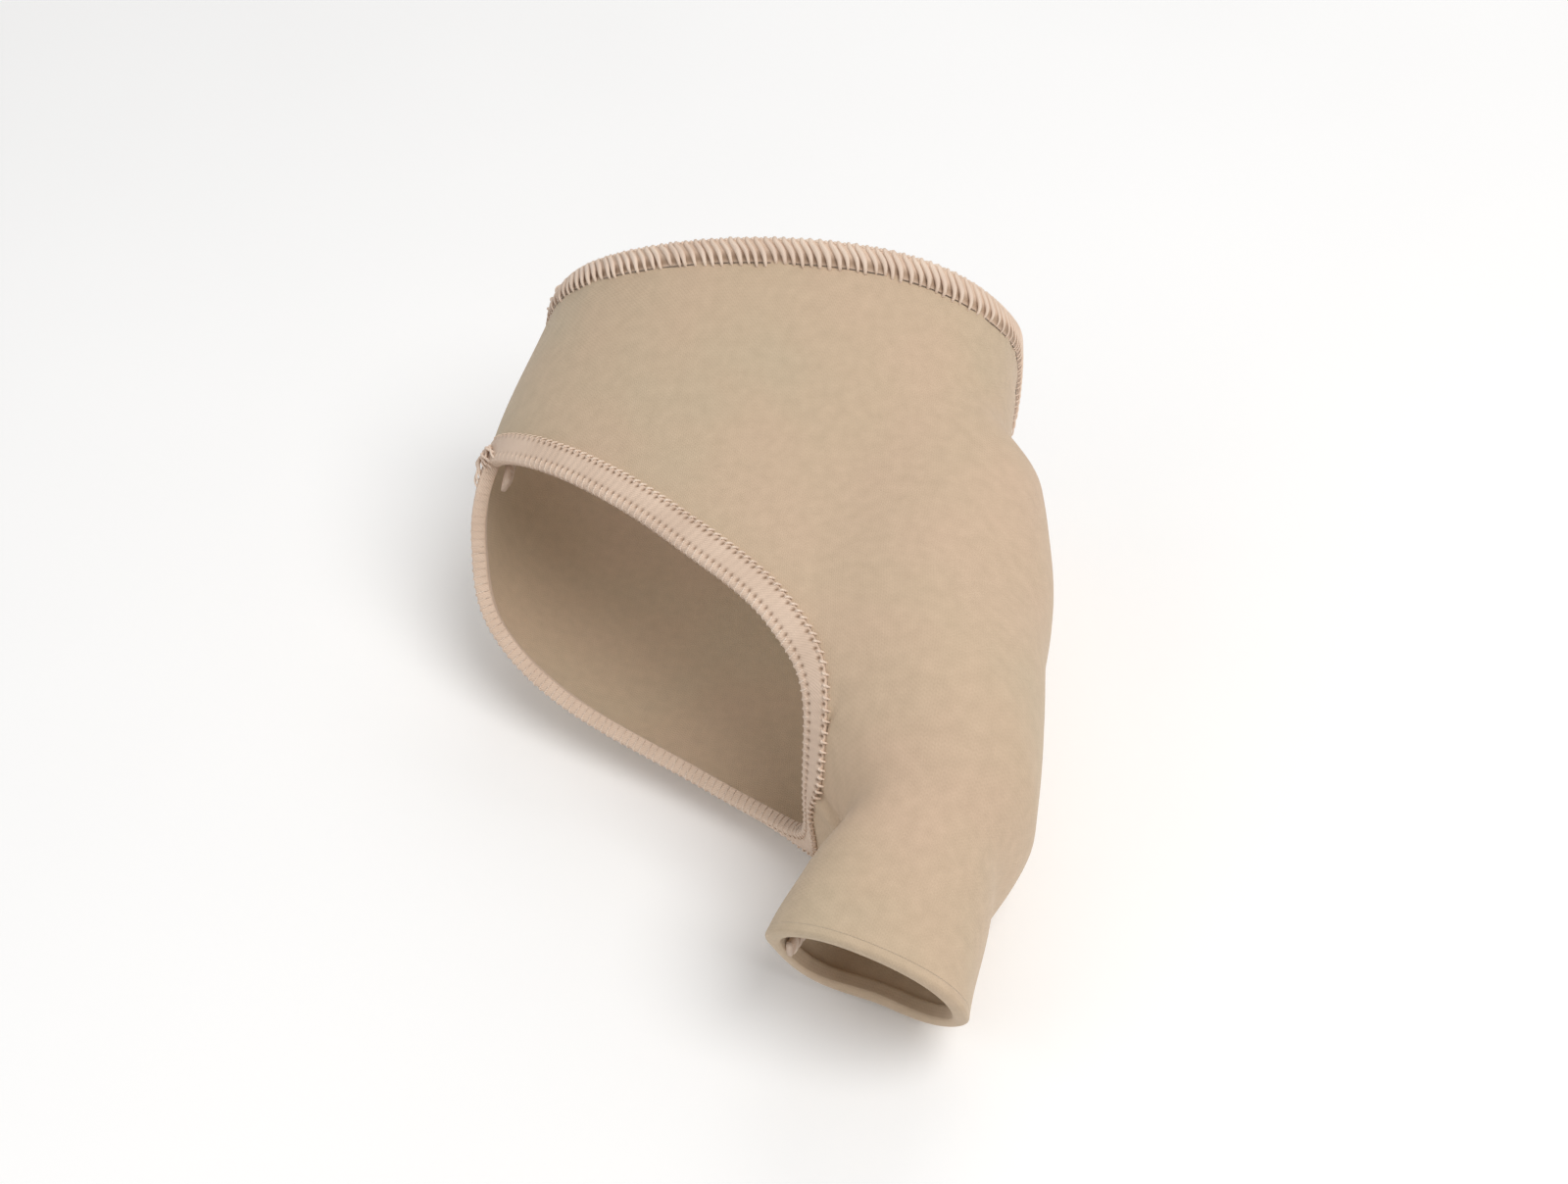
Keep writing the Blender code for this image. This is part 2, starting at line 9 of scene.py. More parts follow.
import bpy
import numpy as np
from mathutils import Matrix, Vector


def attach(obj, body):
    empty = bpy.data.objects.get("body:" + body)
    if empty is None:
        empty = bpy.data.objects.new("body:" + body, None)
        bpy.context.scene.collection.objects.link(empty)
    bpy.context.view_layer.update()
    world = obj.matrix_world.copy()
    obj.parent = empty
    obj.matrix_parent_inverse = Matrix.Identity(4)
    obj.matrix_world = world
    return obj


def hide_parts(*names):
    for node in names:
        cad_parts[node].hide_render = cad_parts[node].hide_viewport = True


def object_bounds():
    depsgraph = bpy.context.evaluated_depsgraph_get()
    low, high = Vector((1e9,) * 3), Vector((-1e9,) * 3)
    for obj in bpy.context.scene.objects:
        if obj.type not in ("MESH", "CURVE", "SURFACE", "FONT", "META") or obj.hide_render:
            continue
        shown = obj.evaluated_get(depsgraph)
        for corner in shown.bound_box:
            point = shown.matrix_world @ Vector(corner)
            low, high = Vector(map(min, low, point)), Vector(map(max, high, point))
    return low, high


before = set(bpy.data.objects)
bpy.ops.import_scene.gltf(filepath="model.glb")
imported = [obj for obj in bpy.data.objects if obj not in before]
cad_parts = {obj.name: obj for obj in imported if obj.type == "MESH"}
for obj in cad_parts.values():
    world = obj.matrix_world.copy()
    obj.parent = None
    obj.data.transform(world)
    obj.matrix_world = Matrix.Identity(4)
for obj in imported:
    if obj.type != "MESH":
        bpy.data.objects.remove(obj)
solid_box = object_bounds()

# The midfoot tube
WEB_TO_HEEL = 0.0775
HEEL_EDGE_LEAN = 0.0130
HEEL_INNER_LEAN = 0.0065
HEEL_OUTER_LEAN = 0.0085
OUTER_LEAN_FOCUS = 4
INNER_LEAN_FOCUS = 10
EDGE_CURL = 1.4
INNER_REACH = 0.0400
OUTER_REACH = 0.0480
INSTEP_HEIGHT = 0.0600

# The big toe tube
TOE_LENGTH = 0.0240
TOE_WIDTH = 0.0270
TOE_HEIGHT = 0.0245
TOE_AXIS = 0.0262
TOE_EDGE_LEAN = 0.0100
TOE_EDGE_SKEW = 0.0036

# The opening for the four small toes
OPENING_FRONT = 0.0062
OPENING_BACK = 0.0558
OPENING_TOP_ARC = math.radians(57)
OPENING_SOLE_ARC = math.radians(52)
OPENING_SKEW = 1.75
POINTED_BACK = 1.8
POINTED_FRONT = 1.65
SEAM_TURN_BACK = math.radians(159)
SEAM_TURN_FRONT = math.radians(180)

# Fullness of the sections, wall and clearances
TOP_SQUARENESS = 2.3
SOLE_SQUARENESS = 2.8
KNIT_THICKNESS = 0.0012
CLEARANCE = 0.0003

# The gel pad and the tent that the knit makes over it
PAD_LENGTH = 0.0620
PAD_HEIGHT = 0.0420
PAD_THICKNESS = 0.0045
PAD_RIM = 0.0012
PAD_CENTRE = 0.0305
PAD_SQUARENESS = 2.6
PAD_CLEARANCE = 0.0002
PAD_DOME = 4
PAD_SHOULDER = 0.7
TENT_SHOULDER = 0.80
TENT_ALONG = 0.0050
TENT_ROUND = 0.0120

# Hems and seams
INSTEP_HEM_WIDTH = 0.0042
INSTEP_HEM_THICKNESS = 0.0011
FOREFOOT_HEM_WIDTH = 0.0038
FOREFOOT_HEM_THICKNESS = 0.0010
TOE_HEM_WIDTH = 0.0022
TOE_HEM_THICKNESS = 0.0007
SEAM_WIDTH = 0.0032
SEAM_THICKNESS = 0.0012
SEAM_STUB = 0.0022
SEAM_RAMP = 0.0040
SEAM_REST = 0.0075
INNER_LEG = 0.7

# Stitches
TAPE_PITCH = 0.00122        # forefoot tape: one hole and one tooth of thread each
HOLE_INSET = 0.00056        # from the tape's edges to its rows of holes
HOLE_RADIUS = 0.00024
HOLE_DEPTH = 0.00034
TAPE_SHOWN_THICKNESS = 0.00050   # the soft tape is pressed flatter than its solid
WEB_SHARE = 0.489             # share of the opening's edge at which its front end lies
ROPE_PITCH = 0.00138        # instep hem: one thick slanted thread each
ROPE_SLANT = 0.00200        # how far a thread runs along the hem while it crosses it
ROPE_RADIUS = 0.00045
ROPE_REACH = 0.90            # share of the hem's width that the threads cross
ROPE_BAND_REACH = 0.84       # share of the hem's width that the padded fold covers
ROPE_BAND_THICKNESS = 0.00052    # the padded fold under the threads
PEARL_RADIUS = 0.00030

# Where the foot sits
MOUNT = np.array([-0.0040, 0.0720, 0.0260])

# Steps of the surfaces
COLUMNS = 236
BAND_ROWS = 44
OPENING_ROWS = 112
TOE_ROWS = 38
BAND_FAN = 0.25
TOE_FAN = 0.15

# Camera: place in the part's frame, heading, angle below the horizon, roll and lens
CAMERA_PLACE = (0.0510, -0.2646, 0.2240)
CAMERA_HEADING = math.radians(10.5)
CAMERA_DOWN = math.radians(43.7)
CAMERA_ROLL = math.radians(-2.2)
CAMERA_LENS = 50.0

# Sections of the foot: along, inner, outer, crown, inner_belly, outer_belly, drift, as shares of
# WEB_TO_HEEL, INNER_REACH, OUTER_REACH and INSTEP_HEIGHT
FOOT_SECTIONS = [
    (0.000, 0.962, -0.405, 0.530, 0.52, 0.46, 0.00),
    (0.070, 0.960, -0.310, 0.575, 0.54, 0.46, 0.00),
    (0.150, 0.962, -0.125, 0.620, 0.55, 0.44, 0.03),
    (0.250, 0.955, 0.200, 0.660, 0.56, 0.42, 0.06),
    (0.400, 0.940, 0.680, 0.700, 0.57, 0.40, 0.10),
    (0.510, 0.948, 0.870, 0.730, 0.57, 0.40, 0.13),
    (0.640, 0.912, 0.950, 0.780, 0.56, 0.40, 0.16),
    (0.800, 0.846, 0.960, 0.870, 0.54, 0.40, 0.18),
    (1.020, 0.835, 0.895, 1.010, 0.52, 0.40, 0.20),
    (1.220, 0.830, 0.830, 1.130, 0.50, 0.40, 0.20),
    (1.420, 0.825, 0.800, 1.260, 0.50, 0.40, 0.20),
]

# Sections of the big toe tube, as shares of TOE_LENGTH, half of TOE_WIDTH and TOE_HEIGHT
TOE_SECTIONS = [
    (1.250, 0.760, 1.140, 0.900, 0.50, 0.50, 0.00),
    (0.770, 0.800, 1.100, 1.020, 0.50, 0.50, 0.00),
    (0.385, 0.880, 0.820, 1.140, 0.51, 0.48, 0.00),
]


def section_stations():
    """Both tables as one array of stations in metres, from the toe's end to the heel."""
    toe = np.array(TOE_SECTIONS)
    toe[:, 0] *= -TOE_LENGTH
    toe[:, 1] = TOE_AXIS + toe[:, 1] * TOE_WIDTH / 2
    toe[:, 2] = TOE_AXIS - toe[:, 2] * TOE_WIDTH / 2
    toe[:, 3] *= TOE_HEIGHT
    foot = np.array(FOOT_SECTIONS)
    foot[:, :4] *= (WEB_TO_HEEL, INNER_REACH, -OUTER_REACH, INSTEP_HEIGHT)
    return np.concatenate([toe, foot])


STATIONS = section_stations()


def smooth_curve(knots, values, at):
    """Cubic Hermite curve through (knots, values), with slopes from each knot's two neighbours."""
    slopes = np.gradient(values, knots)
    at = np.clip(at, knots[0], knots[-1])
    cell = np.clip(np.searchsorted(knots, at, side="right") - 1, 0, len(knots) - 2)
    span = knots[cell + 1] - knots[cell]
    part = (at - knots[cell]) / span
    return (values[cell] * (1 + 2 * part) * (1 - part) ** 2
            + values[cell + 1] * part ** 2 * (3 - 2 * part)
            + slopes[cell] * span * part * (1 - part) ** 2
            - slopes[cell + 1] * span * part ** 2 * (1 - part))


def smooth_step(share):
    """0 below 0, 1 above 1, and share * share * (3 - 2 share) between."""
    share = np.clip(share, 0, 1)
    return share * share * (3 - 2 * share)


def foot_form(along, turn):
    """The foot under the sleeve: superellipse sections about a tilted line of widest places.

    across = middle + half width * (sideways + drift * upward squared), height = belly + upward
    part of what is left above or below it; sideways and upward are the superellipse's cosine and
    sine at the turn, which is 0 on the inner side, a quarter on top and half on the outer side.
    """
    inner, outer, crown, inner_belly, outer_belly, drift = (
        smooth_curve(STATIONS[:, 0], STATIONS[:, column], along) for column in range(1, 7))
    cosine = np.cos(turn)
    sine = np.sin(turn)
    power = np.where(sine >= 0, TOP_SQUARENESS, SOLE_SQUARENESS)
    reach = (np.abs(cosine) ** power + np.abs(sine) ** power) ** (-1 / power)
    sideways = reach * cosine
    upward = reach * sine
    half_width = (inner - outer) / 2
    belly = crown * (inner_belly * (1 + sideways) + outer_belly * (1 - sideways)) / 2
    raised = np.clip(upward, 0, 1)
    across = (inner + outer) / 2 + half_width * (sideways + drift * raised ** 2)
    height = belly + np.where(upward >= 0, (crown - belly) * upward, belly * upward)
    return np.stack([across, along + 0 * turn, height], axis=-1)


def outward(along, turn):
    """Unit normals of the foot form: the cross product of small steps along and round it."""
    step = 1e-4
    lengthwise = foot_form(along + step, turn) - foot_form(along - step, turn)
    round_about = foot_form(along, turn + step) - foot_form(along, turn - step)
    normal = np.cross(lengthwise, round_about)
    return normal / np.linalg.norm(normal, axis=-1, keepdims=True)


def girth_from_inner_side(along, turn):
    """Distance from the inner side's widest line, straight across the section."""
    return np.linalg.norm(foot_form(along, turn) - foot_form(along, 0 * turn), axis=-1)


def pad_distance(along, turn):
    """Superellipse distance from the pad's middle, 1 at its rim, and its lengthwise share."""
    lengthwise = (np.abs(along - PAD_CENTRE) / (PAD_LENGTH / 2)) ** PAD_SQUARENESS
    round_about = (girth_from_inner_side(along, turn) / (PAD_HEIGHT / 2)) ** PAD_SQUARENESS
    whole = lengthwise + round_about
    return whole ** (1 / PAD_SQUARENESS), lengthwise / np.maximum(whole, 1e-9)


def knit_lift(along, turn):
    """How far the pad lifts the knit: full up to the shoulder, then a smooth step down past it."""
    distance, lengthwise = pad_distance(along, turn)
    tent = (lengthwise * TENT_ALONG / (PAD_LENGTH / 2)
            + (1 - lengthwise) * TENT_ROUND / (PAD_HEIGHT / 2))
    fallen = (distance - TENT_SHOULDER) / (1 + tent - TENT_SHOULDER)
    return (PAD_THICKNESS + PAD_CLEARANCE) * (1 - smooth_step(fallen))


def pad_thickness(along, turn):
    """Full in the middle, rounded down to the thin rim, and never up against the knit."""
    distance, _ = pad_distance(along, turn)
    rounded = (PAD_RIM + (PAD_THICKNESS - PAD_RIM)
               * np.clip(1 - distance ** PAD_DOME, 0, 1) ** PAD_SHOULDER)
    return np.minimum(rounded, knit_lift(along, turn) - PAD_CLEARANCE)


def on_knit(along, turn, height):
    """A point at a height over the middle of the knit's wall, along the foot form's normal."""
    lift = CLEARANCE + knit_lift(along, turn) + KNIT_THICKNESS / 2 + height
    return foot_form(along, turn) + outward(along, turn) * lift[..., None]


def opening_along(swing):
    """Where the opening's edge lies along the foot: a skewed cosine from side seam to web."""
    back_share = ((1 + np.cos(swing)) / 2) ** OPENING_SKEW
    return OPENING_FRONT + (OPENING_BACK - OPENING_FRONT) * back_share


def seam_turn(swing):
    """The turn at which top and sole are sewn together, or would be beside the opening."""
    return SEAM_TURN_FRONT + (SEAM_TURN_BACK - SEAM_TURN_FRONT) * (1 + np.cos(swing)) / 2


def opening_arc(swing, arc):
    """How far from the seam's turn the opening's edge lies: a power of the swing's sine."""
    pointed = POINTED_BACK + (POINTED_FRONT - POINTED_BACK) * (1 - np.cos(swing)) / 2
    return arc * np.clip(np.abs(np.sin(swing)), 0, 1) ** pointed


def edge_lag(turn):
    """How far an end of the tube lags behind its top, from 0 on top to 1 under the sole."""
    return ((1 - np.sin(turn)) / 2) ** EDGE_CURL


def heel_lean(turn):
    """How much further back than on top the heel-side edge lies at a turn."""
    inner = np.clip(np.cos(turn), 0, 1) ** INNER_LEAN_FOCUS
    outer = np.clip(-np.cos(turn), 0, 1) ** OUTER_LEAN_FOCUS
    return HEEL_EDGE_LEAN * edge_lag(turn) + HEEL_INNER_LEAN * inner + HEEL_OUTER_LEAN * outer


def toe_lean(turn):
    """How much further back than on top the toe tube's end lies at a turn."""
    return TOE_EDGE_LEAN * edge_lag(turn) - TOE_EDGE_SKEW * np.cos(turn)


def row_guides():
    """For each row of the knit: its outer and inner side along the foot, its swing and two shares.

    The shares say how much of the heel's lean and of the toe's lean the row takes.
    """
    band = np.linspace(0, 1, BAND_ROWS, endpoint=False)
    opening = np.linspace(0, 1, OPENING_ROWS + 1)
    toe = np.linspace(0, 1, TOE_ROWS + 1)[1:]
    inner_back = OPENING_BACK + (WEB_TO_HEEL - OPENING_BACK) * BAND_FAN
    inner_front = OPENING_FRONT - (TOE_LENGTH + OPENING_FRONT) * TOE_FAN
    outer_side = np.concatenate([
        WEB_TO_HEEL + (OPENING_BACK - WEB_TO_HEEL) * band,
        opening_along(math.pi * opening),
        OPENING_FRONT - (TOE_LENGTH + OPENING_FRONT) * toe])
    inner_side = np.concatenate([
        WEB_TO_HEEL + (inner_back - WEB_TO_HEEL) * band,
        inner_back + (inner_front - inner_back) * opening,
        inner_front - (TOE_LENGTH + inner_front) * toe])
    swing = np.concatenate([np.zeros(BAND_ROWS), math.pi * opening, np.full(TOE_ROWS, math.pi)])
    heel_share = np.concatenate([1 - band, np.zeros(OPENING_ROWS + 1 + TOE_ROWS)])
    toe_share = np.concatenate([np.zeros(BAND_ROWS + OPENING_ROWS + 1), toe])
    return np.stack([outer_side, inner_side, swing, heel_share, toe_share], axis=-1)


def row_place(guide, share):
    """Along and turn at a share of the way round a row, over the top first, then under the sole."""
    outer_side, inner_side, swing, heel_share, toe_share = guide
    over_top = (seam_turn(swing) - opening_arc(swing, OPENING_TOP_ARC)) * (1 - 2 * share)
    under_sole = ((2 * math.pi - seam_turn(swing) - opening_arc(swing, OPENING_SOLE_ARC))
                  * (1 - 2 * share))
    turn = np.where(share < 0.5, over_top, under_sole)
    inward = (1 - np.cos(2 * math.pi * share)) / 2
    lean = heel_share * heel_lean(turn) + toe_share * toe_lean(turn)
    return outer_side + (inner_side - outer_side) * inward + lean, turn


def even_shares(points, shares, wanted):
    """The shares at which a line of points is cut into the wanted shares of its own length."""
    steps = np.linalg.norm(np.diff(points, axis=0), axis=1)
    walked = np.concatenate([[0], np.cumsum(steps)])
    return np.interp(wanted * walked[-1], walked, shares)


def knit_places():
    """Along and turn of the knit's grid, evenly spaced round each half row."""
    half = COLUMNS // 2
    places = []
    for guide in row_guides():
        shares = []
        for start in (0.0, 0.5):
            fine = start + np.linspace(0, 0.5, 241)
            along, turn = row_place(guide, fine)
            shares.append(even_shares(
                on_knit(along, turn, np.zeros(1)), fine, np.linspace(0, 1, half + 1)))
        share = np.concatenate([shares[0][:-1], shares[1]])
        places.append(np.stack(row_place(guide, share)))
    return np.moveaxis(np.array(places), 1, 0)


class Edge:
    """A closed edge of the knit, with what a strip beside it needs at any distance along it.

    The step along and round the foot form that moves a point squarely off the edge comes from the
    form's two slopes there, so that a wide strip keeps to the curved surface.
    """

    def __init__(self, along, turn):
        flat = np.zeros(1)
        point = on_knit(along, turn, flat)
        walked = np.concatenate([[0], np.cumsum(np.linalg.norm(np.diff(point, axis=0), axis=1))])
        self.length = walked[-1]
        count = 3000
        self.at = np.arange(count + 1) * self.length / count
        along = np.interp(self.at, walked, along)
        turn = np.interp(self.at, walked, turn)
        point = on_knit(along, turn, flat)[:-1]
        tangent = np.roll(point, -3, axis=0) - np.roll(point, 3, axis=0)
        along_open, turn_open = along[:-1], turn[:-1]
        inward = np.cross(outward(along_open, turn_open), tangent)
        inward /= np.linalg.norm(inward, axis=-1, keepdims=True)
        step = 1e-4
        by_along = (on_knit(along_open + step, turn_open, flat)
                    - on_knit(along_open - step, turn_open, flat)) / (2 * step)
        by_turn = (on_knit(along_open, turn_open + step, flat)
                   - on_knit(along_open, turn_open - step, flat)) / (2 * step)
        along_square = np.sum(by_along * by_along, axis=-1)
        turn_square = np.sum(by_turn * by_turn, axis=-1)
        mixed = np.sum(by_along * by_turn, axis=-1)
        inward_along = np.sum(by_along * inward, axis=-1)
        inward_turn = np.sum(by_turn * inward, axis=-1)
        spread = along_square * turn_square - mixed ** 2
        along_step = (inward_along * turn_square - inward_turn * mixed) / spread
        turn_step = (inward_turn * along_square - inward_along * mixed) / spread
        self.columns = [along, turn,
                        np.append(along_step, along_step[0]), np.append(turn_step, turn_step[0])]

    def place(self, distance, inset):
        """Along and turn at a distance along the edge and an inset into the knit."""
        walked = np.mod(distance, self.length)
        along, turn, along_step, turn_step = (
            np.interp(walked, self.at, column) for column in self.columns)
        return along + along_step * inset, turn + turn_step * inset

    def point(self, distance, inset, height):
        """The point there, at a height over the middle of the knit's wall."""
        along, turn = self.place(distance, inset)
        return on_knit(along, turn, height + 0 * along)

    def normal(self, distance, inset):
        """The way out of the knit there."""
        return outward(*self.place(distance, inset))


def forefoot_edge():
    """The edge of the four-toe opening: over the top to the web, and back under the sole."""
    swing = np.linspace(0, 2 * math.pi, 4001)
    top_part = -opening_arc(swing, OPENING_TOP_ARC)
    sole_part = opening_arc(swing, OPENING_SOLE_ARC)
    return Edge(opening_along(swing),
                seam_turn(swing) + np.where(swing < math.pi, top_part, sole_part))


def heel_edge():
    """The heel-side edge, walked with the knit on its left as seen from outside."""
    return Edge(*row_place(row_guides()[0], np.linspace(1, 0, 4001)))


def toe_edge():
    """The edge at the toe's end, walked with the knit on its left as seen from outside."""
    return Edge(*row_place(row_guides()[-1], np.linspace(0, 1, 4001)))


def grid_quads(rows, columns, closed_rows=False, closed_columns=False, start=0):
    """Quads between the points of a grid that is numbered row by row."""
    row = np.arange(rows if closed_rows else rows - 1)[:, None]
    column = np.arange(columns if closed_columns else columns - 1)[None, :]
    next_row = (row + 1) % rows
    next_column = (column + 1) % columns
    corners = [row * columns + column, row * columns + next_column,
               next_row * columns + next_column, next_row * columns + column]
    return start + np.stack(corners, axis=-1).reshape(-1, 4)


def new_piece(name, points, faces, material, texture=None):
    """A smooth mesh object at the origin, with its place in its mesh and an optional UV map.

    faces is a list of arrays of faces with the same number of corners. texture gives each point's
    place on the cloth in millimetres.
    """
    corners = np.concatenate([group.ravel() for group in faces]).astype(np.int32)
    sizes = np.concatenate([np.full(len(group), group.shape[1]) for group in faces])
    starts = np.concatenate([[0], np.cumsum(sizes)[:-1]]).astype(np.int32)
    mesh = bpy.data.meshes.new(name)
    mesh.vertices.add(len(points))
    mesh.vertices.foreach_set("co", (points - MOUNT).astype(np.float32).ravel())
    mesh.loops.add(len(corners))
    mesh.loops.foreach_set("vertex_index", corners)
    mesh.polygons.add(len(starts))
    mesh.polygons.foreach_set("loop_start", starts)
    mesh.polygons.foreach_set("use_smooth", np.ones(len(starts), bool))
    mesh.update(calc_edges=True)
    mesh.validate()
    if texture is not None:
        layer = mesh.uv_layers.new(name="cloth")
        layer.data.foreach_set("uv", texture[corners].astype(np.float32).ravel())
    mesh.materials.append(material)
    piece = bpy.data.objects.new(name, mesh)
    bpy.context.scene.collection.objects.link(piece)
    return piece


def thread_mesh(paths, normals, radii, sides):
    """Many closed tubes at once: a circle of the given radius carried along each path.

    paths and normals are (threads, stations, 3) and radii are (threads, stations) or (stations,).
    The circle stands on the path's tangent and on the surface's normal. Each end is one flat face.
    The texture runs along the thread and round it, in millimetres.
    """
    threads, stations = paths.shape[:2]
    tangent = np.gradient(paths, axis=1)
    tangent /= np.linalg.norm(tangent, axis=-1, keepdims=True)
    side = np.cross(tangent, normals)
    side /= np.linalg.norm(side, axis=-1, keepdims=True)
    up = np.cross(side, tangent)
    angle = 2 * math.pi * np.arange(sides) / sides
    ring = (side[:, :, None] * np.cos(angle)[:, None] + up[:, :, None] * np.sin(angle)[:, None])
    radii = np.broadcast_to(radii, (threads, stations))
    points = paths[:, :, None] + ring * radii[:, :, None, None]
    one = grid_quads(stations, sides, closed_columns=True)
    size = stations * sides
    first = size * np.arange(threads)
    quads = (first[:, None, None] + one[None]).reshape(-1, 4)
    ends = np.concatenate([
        first[:, None] + np.arange(sides)[::-1],
        first[:, None] + (stations - 1) * sides + np.arange(sides)])
    steps = np.linalg.norm(np.diff(paths, axis=1), axis=-1)
    run = np.concatenate([np.zeros((threads, 1)), np.cumsum(steps, axis=1)], axis=1) * 1000
    texture = np.stack(np.broadcast_arrays(
        run[:, :, None], 1000 * radii[:, :, None] * angle), axis=-1).reshape(-1, 2)
    return points.reshape(-1, 3), [quads, ends], texture


def join_meshes(parts):
    """Several (points, faces, texture) as one, with the corners numbered on."""
    points, faces, textures = [], [], []
    start = 0
    for part_points, part_faces, part_texture in parts:
        points.append(part_points)
        faces.extend(group + start for group in part_faces)
        textures.append(part_texture)
        start += len(part_points)
    return np.concatenate(points), faces, np.concatenate(textures)


def make_sleeve(material):
    """The knit: its grid sewn shut along both seams, puckered beside the hems, with a wall.

    The texture's first value is the girth from the inner side and its second the place along the
    foot, both on the surface, so the stitches run along the foot.
    """
    along, turn = knit_places()
    rows, columns = along.shape
    flat = on_knit(along, turn, np.zeros(1))
    from_heel = np.concatenate([np.zeros((1, columns)), np.cumsum(
        np.linalg.norm(np.diff(flat, axis=0), axis=-1), axis=0)])
    across = np.concatenate([np.zeros((rows, 1)), np.cumsum(
        np.linalg.norm(np.diff(flat, axis=1), axis=-1), axis=1)], axis=1)
    from_side = np.minimum(across, across[:, -1:] - across)
    open_row = ((np.arange(rows) > BAND_ROWS) & (np.arange(rows) < BAND_ROWS + OPENING_ROWS))[:, None]
    round_heel = turn * 0.034
    ripple = (0.6 * np.sin(round_heel / 0.00125) + 0.5 * np.sin(round_heel / 0.00081 + 1.3)
              + 0.4 * np.sin(round_heel / 0.0021 + 0.6))
    pucker = ripple * np.exp(-((from_heel - 0.0046) / 0.0030) ** 2) * 0.00009
    along_open = along / 0.00095
    beside = np.sin(along_open) * 0.6 + 0.4 * np.sin(along_open * 0.61 + 2.0)
    pucker = pucker + open_row * beside * np.exp(-((from_side - 0.0042) / 0.0024) ** 2) * 0.00006
    points = on_knit(along, turn, pucker + web_crease(along, turn))
    corner = np.arange(rows * columns).reshape(rows, columns)
    sewn = ~open_row[:, 0]
    corner[sewn, -1] = corner[sewn, 0]
    kept, number = np.unique(corner.ravel(), return_inverse=True)
    quads = number.ravel()[grid_quads(rows, columns)]
    girth = side_girth(along, turn)
    place = np.stack([girth, along], axis=-1).reshape(-1, 2) * 1000
    sleeve = new_piece("sleeve_knit", points.reshape(-1, 3)[kept], [quads[:, ::-1]], material)
    layer = sleeve.data.uv_layers.new(name="cloth")
    open_corners = grid_quads(rows, columns)[:, ::-1].ravel()
    layer.data.foreach_set("uv", place[open_corners].astype(np.float32).ravel())
    wall = sleeve.modifiers.new("wall", "SOLIDIFY")
    wall.thickness = KNIT_THICKNESS
    wall.offset = 0
    return sleeve


def web_crease(along, turn):
    """The lap beside the opening's front end: a soft roll over the tape's edge, then a furrow.

    Both are bell curves of the distance from the tape's edge, and fade along it at both ends.
    """
    swing = np.linspace(math.pi, math.pi / 3, 160)
    edge_along = opening_along(swing)
    edge_turn = seam_turn(swing) - opening_arc(swing, OPENING_TOP_ARC)
    own_turn = np.interp(along, edge_along, edge_turn)
    beside = (own_turn - turn) * CREASE_RADIUS - FOREFOOT_HEM_WIDTH
    middle = (CREASE_FRONT + CREASE_BACK) / 2
    fading = np.exp(-((along - middle) / (CREASE_BACK - CREASE_FRONT) * 1.9) ** 4)
    roll = np.exp(-((beside - 0.0007) / 0.0009) ** 2)
    furrow = np.exp(-((beside - 0.0029) / 0.0015) ** 2)
    return fading * CREASE_DEPTH * (0.8 * roll - furrow)


CREASE_FRONT = -0.0020
CREASE_BACK = 0.0085
CREASE_RADIUS = 0.022
CREASE_DEPTH = 0.0005


def side_girth(along, turn):
    """The length round the section from the inner side to a turn, read from a table of sections."""
    table_along = np.linspace(-TOE_LENGTH * 1.05, WEB_TO_HEEL * 1.25, 90)
    table_turn = np.linspace(-1.3 * math.pi, 1.3 * math.pi, 521)
    grid = foot_form(table_along[:, None] + 0 * table_turn, table_turn + 0 * table_along[:, None])
    steps = np.linalg.norm(np.diff(grid, axis=1), axis=-1)
    girth = np.concatenate([np.zeros((len(table_along), 1)), np.cumsum(steps, axis=1)], axis=1)
    girth -= girth[:, 260:261]
    row = np.clip((along - table_along[0]) / (table_along[1] - table_along[0]), 0, 88.999)
    column = np.clip((turn - table_turn[0]) / (table_turn[1] - table_turn[0]), 0, 519.999)
    low_row = row.astype(int)
    low_column = column.astype(int)
    row_part = row - low_row
    column_part = column - low_column
    return ((girth[low_row, low_column] * (1 - column_part)
             + girth[low_row, low_column + 1] * column_part) * (1 - row_part)
            + (girth[low_row + 1, low_column] * (1 - column_part)
               + girth[low_row + 1, low_column + 1] * column_part) * row_part)


def folded_section(width, thickness, wall, leg_steps=20):
    """Section of a tape folded round the knit's edge, as insets and heights in one closed loop.

    The outer leg ends in a quarter ellipse, the fold is half an ellipse past the knit's edge, the
    inner leg mirrors the outer one at a share of its width, and the way back follows the knit.
    """
    round_off = thickness * 0.9
    outer = np.linspace(width, 0, leg_steps)
    sink = np.clip((outer - (width - round_off)) / round_off, 0, 1)
    outer_height = wall + thickness * np.sqrt(np.clip(1 - sink ** 2, 0, 1))
    bend = np.linspace(0, math.pi, 11)[1:-1]
    fold = -CLEARANCE - thickness * 0.8 * np.sin(bend)
    fold_height = (wall + thickness) * np.cos(bend)
    inner_width = width * INNER_LEG
    inner = np.linspace(0, inner_width, 10)
    sink = np.clip((inner - (inner_width - round_off)) / round_off, 0, 1)
    inner_height = -wall - thickness * np.sqrt(np.clip(1 - sink ** 2, 0, 1))
    inset = np.concatenate([outer, fold, inner, [inner_width * 0.5, -CLEARANCE * 0.7,
                                                 -CLEARANCE * 0.7, width * 0.5]])
    height = np.concatenate([outer_height, fold_height, inner_height,
                             [-wall, -wall, wall, wall]])
    return inset, height


